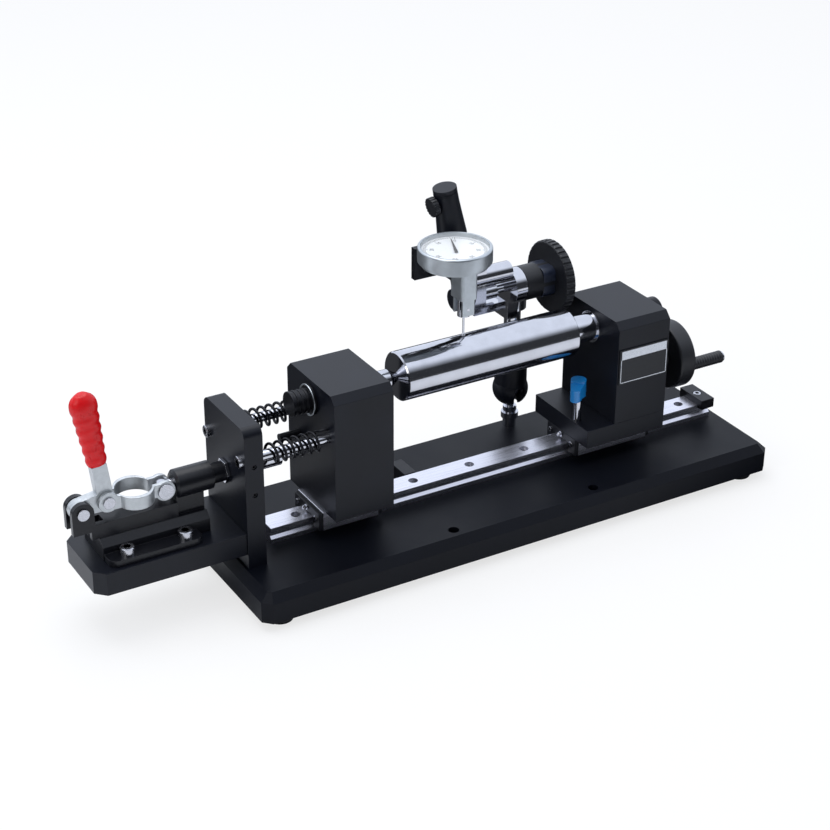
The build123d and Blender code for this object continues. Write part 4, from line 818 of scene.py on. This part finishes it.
class CENTER_OT_moulded(Operator):
    """Knobs, handwheel, crank handle, lock lever, upper arm, feet and the dial's bezel."""

    bl_idname = "center.moulded"
    bl_label = "Moulded pieces"

    cap_half: length("Cap half", "Half the width of the big knob's square cap", 9.6)
    cap_corner: length("Cap corner", "Radius of the cap's corners", 4.5)
    cap_face: length("Cap face", "From the big knob's rim to its cap's face", 15.15)
    cap_foot: length("Cap foot", "From the big knob's rim to its cap's foot", 6.25)
    cap_border: length("Cap border", "Width of the cap's raised border", 1.1)
    cap_slope: length("Cap slope", "Width of the slope inside the border", 0.5)
    cap_sink: length("Cap sink", "Depth of the cap's sunk face", 0.7)
    groove: length("Groove", "Depth of the crank handle's grooves", 0.3)

    def square_cap(self, softness):
        """The square cap with a sunk face on the big knob's hub."""
        _, high, middle = span("elbow_knob")
        cap = bmesh.new()
        boxed(cap, Vector((high.x - self.cap_face, middle.y - self.cap_half, middle.z - self.cap_half)),
              Vector((high.x - self.cap_foot, middle.y + self.cap_half, middle.z + self.cap_half)))
        corners = [e for e in cap.edges if abs(e.verts[0].co.x - e.verts[1].co.x) > MM]
        bmesh.ops.bevel(cap, geom=corners, offset=self.cap_corner, offset_type="OFFSET", segments=6,
                        profile=0.5, affect="EDGES", material=-1)
        face = min(cap.faces, key=lambda f: f.calc_center_median().x)
        bmesh.ops.inset_region(cap, faces=[face], thickness=self.cap_border, depth=0)
        bmesh.ops.inset_region(cap, faces=[face], thickness=self.cap_slope, depth=-self.cap_sink)
        soften(cap, softness)
        # The cap's lighter blue-grey colour is painted sheen
        place_piece("knob_cap", cap, knob_cap, "big_knob")

    def ribbed_handle(self):
        """The ribbed handle that spins on the crank's pin."""
        low, high, _ = span("crank_handle")
        axis = span("crank_pin")[2]
        run = high.x - low.x
        radius = high.y - axis.y
        profile = [(0, CRANK_BORE), (0, radius - CRANK_FOOT_CORNER), (CRANK_CORNER, radius)]
        points = CRANK_RIBS * CRANK_POINTS_PER_RIB
        for number in range(points + 1):
            sunk = self.groove if number % CRANK_POINTS_PER_RIB == 1 else 0
            profile.append((CRANK_RIBS_FROM + CRANK_RIBS_RUN * number / points, radius - sunk))
        profile += [(run - CRANK_CORNER, radius), (run, radius - CRANK_CORNER), (run, CRANK_BORE)]
        handle = turned("ribbed_crank_handle", Vector((low.x, axis.y, axis.z)), AXIS_X, profile,
                        moulded_plastic, "crank", CRANK_STEPS)
        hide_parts("crank_handle")

    def execute(self, context):
        edges = context.scene.center_edges
        for node in ("handwheel", "lock_lever", "upper_arm"):
            rounded(node, edges.moulded)
        for node in ("elbow_knob", "thumb_knob", "rubber_feet", "dial_bezel"):
            rounded(node, edges.small)
        self.square_cap(edges.moulded / 2)
        self.ribbed_handle()
        return {"FINISHED"}


class CENTER_OT_label(Operator):
    """The bare black label with its light border and blank band."""

    bl_idname = "center.label"
    bl_label = "Label"

    edge: length("Edge", "Rounding of the label's edges", 0.15)
    border: length("Border", "Width of the printed border", 0.45)
    margin: length("Margin", "From the label's edge to the border", 1.0)
    band: length("Band", "Height of the blank band at the top", 5.6)
    proud: length("Proud", "How far the print stands out of the label", 0.03)
    sunk: length("Sunk", "How far the print reaches into the label", 0.1)

    def execute(self, context):
        rounded("label_plate", self.edge, label_film)
        low, high, _ = span("label_plate")
        front, back = low.y - self.proud, low.y + self.sunk
        left, right = low.x + self.margin, high.x - self.margin
        foot, top = low.z + self.margin, high.z - self.margin
        shape = bmesh.new()
        for x0, x1, z0, z1 in (
            (left, right, foot, foot + self.border), (left, right, top - self.band, top),
            (left, left + self.border, foot, top), (right - self.border, right, foot, top),
        ):
            boxed(shape, Vector((x0, front, z0)), Vector((x1, back, z1)))
        place_piece("label_print", shape, printed_white, "headstock")
        return {"FINISHED"}


class CENTER_OT_dial(Operator):
    """The dial's printed marks and numbers."""

    bl_idname = "center.dial"
    bl_label = "Dial marks"

    def execute(self, context):
        dial = context.scene.center_dial
        low, high, middle = span("dial_bezel")
        axis = Vector((middle.x, middle.y, span("dial_face")[1].z))
        upright = Matrix.Translation(axis) @ Matrix.Rotation(-VIEW_AZIMUTH, 4, "Z")
        outer = (high.x - low.x) / 2 - dial.bezel_wall - dial.rim_gap
        shape = bmesh.new()
        every = dial.divisions // dial.numbered
        for number in range(dial.divisions):
            reach = dial.long_mark if number % every == 0 else dial.short_mark
            place = (upright @ Matrix.Rotation(-2 * pi * number / dial.divisions, 4, "Z")
                     @ Matrix.Translation((0, outer - reach / 2, dial.ink / 2)))
            size = Matrix.Diagonal((dial.mark_width, reach, dial.ink, 1))
            bmesh.ops.create_cube(shape, size=1, matrix=place @ size)
        place_piece("dial_marks", shape, printed_ink, "dial")
        half = dial.numbered // 2
        for number in range(dial.numbered):
            value = dial.number_step * (number if number <= half else dial.numbered - number)
            place = (upright @ Matrix.Rotation(-2 * pi * number / dial.numbered, 4, "Z")
                     @ Matrix.Translation((0, outer - dial.long_mark - dial.figure, 0)))
            self.figure(f"dial_figure_{number}", str(value), place, dial)
        return {"FINISHED"}

    def figure(self, name, text, place, dial):
        """One printed number, as a mesh on the dial."""
        letters = bpy.data.curves.new(name, "FONT")
        letters.body = text
        letters.size = dial.figure
        letters.align_x = "CENTER"
        letters.extrude = dial.ink / 2
        drawn = bpy.data.objects.new(name, letters)
        shape = bmesh.new()
        flat = bpy.data.meshes.new_from_object(drawn)
        shape.from_mesh(flat)
        bpy.data.objects.remove(drawn)
        bpy.data.curves.remove(letters)
        bpy.data.meshes.remove(flat)
        bmesh.ops.transform(shape, matrix=place @ Matrix.Translation((0, 0, dial.ink / 2)),
                            verts=shape.verts)
        place_piece(name, shape, printed_ink, "dial")


# Stage

FLOOR_REACH = 6.0
FLOOR_WHITE_SHARE = 0.72
MIRRORED_LIFT = 0.3
MIRRORED_DARK = 0.05
TOWARD_VIEW = Vector((-sin(VIEW_AZIMUTH), -cos(VIEW_AZIMUTH), 0))
VIEW_RISE = 0.25
LAMP_AIM = Vector((0, 0, 0.08))
# Each lamp's name, place and width in metres, and power in watts
LAMPS = (("top_box", (-0.1, 0.35, 1.3), 1.1, 9), ("left_box", (-1.2, -0.5, 0.8), 0.7, 4))


def build_floor():
    """A white floor that turns plain white to the camera but keeps the object's shadow.

    Bright metal mirrors it dark, except for a strip before the object.
    """
    made, tree, place = new_material("studio_floor")
    paper = add(tree, "ShaderNodeBsdfDiffuse", {"Color": linear("#f4f4f4")})
    glow = add(tree, "ShaderNodeEmission", {"Strength": 1.0})
    rays = add(tree, "ShaderNodeLightPath")
    seen = add(tree, "ShaderNodeMath", {1: FLOOR_WHITE_SHARE}, {0: rays.outputs["Is Camera Ray"]},
               operation="MULTIPLY")
    mixed = add(tree, "ShaderNodeMixShader", None,
                {0: seen.outputs[0], 1: paper.outputs[0], 2: glow.outputs[0]})
    ahead = add(tree, "ShaderNodeVectorMath", {1: TOWARD_VIEW}, {0: place}, operation="DOT_PRODUCT")
    far = add(tree, "ShaderNodeMapRange", {"From Min": 0.37, "From Max": 0.45, "To Min": 0.0,
                                           "To Max": 1.0}, {"Value": ahead.outputs["Value"]})
    behind = add(tree, "ShaderNodeMapRange", {"From Min": -0.05, "From Max": 0.0, "To Min": 1.0,
                                              "To Max": 0.0}, {"Value": ahead.outputs["Value"]})
    outside = add(tree, "ShaderNodeMath", None, {0: far.outputs[0], 1: behind.outputs[0]},
                  operation="MAXIMUM")
    mirrored = add(tree, "ShaderNodeMath", None,
                   {0: outside.outputs[0], 1: rays.outputs["Is Glossy Ray"]}, operation="MULTIPLY")
    gloom = add(tree, "ShaderNodeEmission", {"Color": (0.9, 0.93, 1.0, 1.0), "Strength": 0.06})
    room = add(tree, "ShaderNodeMixShader", None,
               {0: mirrored.outputs[0], 1: mixed.outputs[0], 2: gloom.outputs[0]})
    add(tree, "ShaderNodeOutputMaterial", links={"Surface": room.outputs[0]})
    shape = bmesh.new()
    bmesh.ops.create_grid(shape, x_segments=1, y_segments=1, size=FLOOR_REACH)
    mesh = bpy.data.meshes.new("floor")
    shape.to_mesh(mesh)
    shape.free()
    mesh.materials.append(made)
    floor = bpy.data.objects.new("floor", mesh)
    bpy.context.scene.collection.objects.link(floor)


def build_world():
    """A pale room that is darker behind the camera, and plain white where the camera sees it.

    Bright metal mirrors its low part on the camera's side nearly black.
    """
    world = bpy.data.worlds.new("studio")
    bpy.context.scene.world = world
    world.use_nodes = True
    tree = world.node_tree
    tree.nodes.clear()
    ways = add(tree, "ShaderNodeTexCoord").outputs["Generated"]
    lens = (TOWARD_VIEW + VIEW_RISE * AXIS_Z).normalized()
    lensward = add(tree, "ShaderNodeVectorMath", {1: lens}, {0: ways}, operation="DOT_PRODUCT")
    dim = add(tree, "ShaderNodeMapRange", {"From Min": 0.45, "From Max": 0.85, "To Min": 1.0,
                                           "To Max": 0.22}, {"Value": lensward.outputs["Value"]})
    rays = add(tree, "ShaderNodeLightPath")
    level = add(tree, "ShaderNodeSeparateXYZ", None, {0: ways})
    low = add(tree, "ShaderNodeMapRange", {"From Min": 0.42, "From Max": 0.84, "To Min": 1.0,
                                           "To Max": 0.0}, {"Value": level.outputs["Z"]})
    near = add(tree, "ShaderNodeVectorMath", {1: TOWARD_VIEW}, {0: ways}, operation="DOT_PRODUCT")
    ahead = add(tree, "ShaderNodeMapRange", {"From Min": 0.1, "From Max": 0.3, "To Min": 0.0,
                                             "To Max": 1.0}, {"Value": near.outputs["Value"]})
    dark = add(tree, "ShaderNodeMath", None, {0: low.outputs[0], 1: ahead.outputs[0]},
               operation="MULTIPLY")
    mirrored = add(tree, "ShaderNodeMath", None,
                   {0: dark.outputs[0], 1: rays.outputs["Is Glossy Ray"]}, operation="MULTIPLY")
    bright = add(tree, "ShaderNodeMath", {1: MIRRORED_LIFT}, {0: rays.outputs["Is Glossy Ray"]},
                 operation="MULTIPLY")
    lifted = add(tree, "ShaderNodeMath", None, {0: dim.outputs[0], 1: bright.outputs[0]},
                 operation="ADD")
    strength = add(tree, "ShaderNodeMix", {3: MIRRORED_DARK},
                   {0: mirrored.outputs[0], 2: lifted.outputs[0]})
    room = add(tree, "ShaderNodeBackground", {"Color": (0.82, 0.88, 1.0, 1.0)},
               {"Strength": strength.outputs[0]})
    white = add(tree, "ShaderNodeBackground", {"Color": (1, 1, 1, 1), "Strength": 1.0})
    mixed = add(tree, "ShaderNodeMixShader", None,
                {0: rays.outputs["Is Camera Ray"], 1: room.outputs[0], 2: white.outputs[0]})
    add(tree, "ShaderNodeOutputWorld", links={"Surface": mixed.outputs[0]})


def build_lights():
    """A large soft box over the object and a weaker one from the left."""
    for name, place, size, power in LAMPS:
        data = bpy.data.lights.new(name, "AREA")
        data.shape = "SQUARE"
        data.size = size
        data.energy = power
        lamp = bpy.data.objects.new(name, data)
        lamp.location = place
        lamp.rotation_euler = (LAMP_AIM - Vector(place)).to_track_quat("-Z", "Y").to_euler()
        bpy.context.scene.collection.objects.link(lamp)


def build_camera():
    """The photograph's viewpoint."""
    data = bpy.data.cameras.new("view")
    data.sensor_width = 36
    data.lens = VIEW_LENS
    data.shift_x = VIEW_SHIFT
    data.clip_end = 50
    camera = bpy.data.objects.new("view", data)
    turn = (Matrix.Rotation(-VIEW_AZIMUTH, 4, "Z") @ Matrix.Rotation(pi / 2 - VIEW_ELEVATION, 4, "X")
            @ Matrix.Rotation(VIEW_ROLL, 4, "Z"))
    camera.matrix_world = Matrix.Translation(VIEW_FROM) @ turn
    bpy.context.scene.collection.objects.link(camera)
    bpy.context.scene.camera = camera


class CENTER_OT_stage(Operator):
    """Pale floor, soft lights and the photographed view."""

    bl_idname = "center.stage"
    bl_label = "Stage"

    def execute(self, context):
        build_floor()
        build_world()
        build_lights()
        build_camera()
        context.scene.view_settings.view_transform = "Standard"
        return {"FINISHED"}


STEPS = (
    CENTER_OT_finishes, CENTER_OT_castings, CENTER_OT_springs, CENTER_OT_machined,
    CENTER_OT_turned, CENTER_OT_carriages, CENTER_OT_screws, CENTER_OT_toggle,
    CENTER_OT_moulded, CENTER_OT_label, CENTER_OT_dial, CENTER_OT_stage,
)


class CENTER_PT_panel(Panel):
    """Lists the steps that build the pieces."""

    bl_label = "Bench center"
    bl_idname = "CENTER_PT_panel"
    bl_space_type = "VIEW_3D"
    bl_region_type = "UI"
    bl_category = "Bench center"

    def draw(self, context):
        for step in STEPS:
            self.layout.operator(step.bl_idname)


GROUPS = (EdgeSizes, DialSizes, FinishColours)
CLASSES = GROUPS + STEPS + (CENTER_PT_panel,)


def register():
    """Registers the classes and the scene's properties."""
    for kind in CLASSES:
        bpy.utils.register_class(kind)
    bpy.types.Scene.center_edges = PointerProperty(type=EdgeSizes)
    bpy.types.Scene.center_dial = PointerProperty(type=DialSizes)
    bpy.types.Scene.center_colours = PointerProperty(type=FinishColours)


def unregister():
    """Removes the classes and the scene's properties."""
    del bpy.types.Scene.center_edges
    del bpy.types.Scene.center_dial
    del bpy.types.Scene.center_colours
    for kind in reversed(CLASSES):
        bpy.utils.unregister_class(kind)


def main():
    """Builds the whole scene."""
    register()
    for step in STEPS:
        group, name = step.bl_idname.split(".")
        getattr(getattr(bpy.ops, group), name)()


if __name__ == "__main__":
    main()
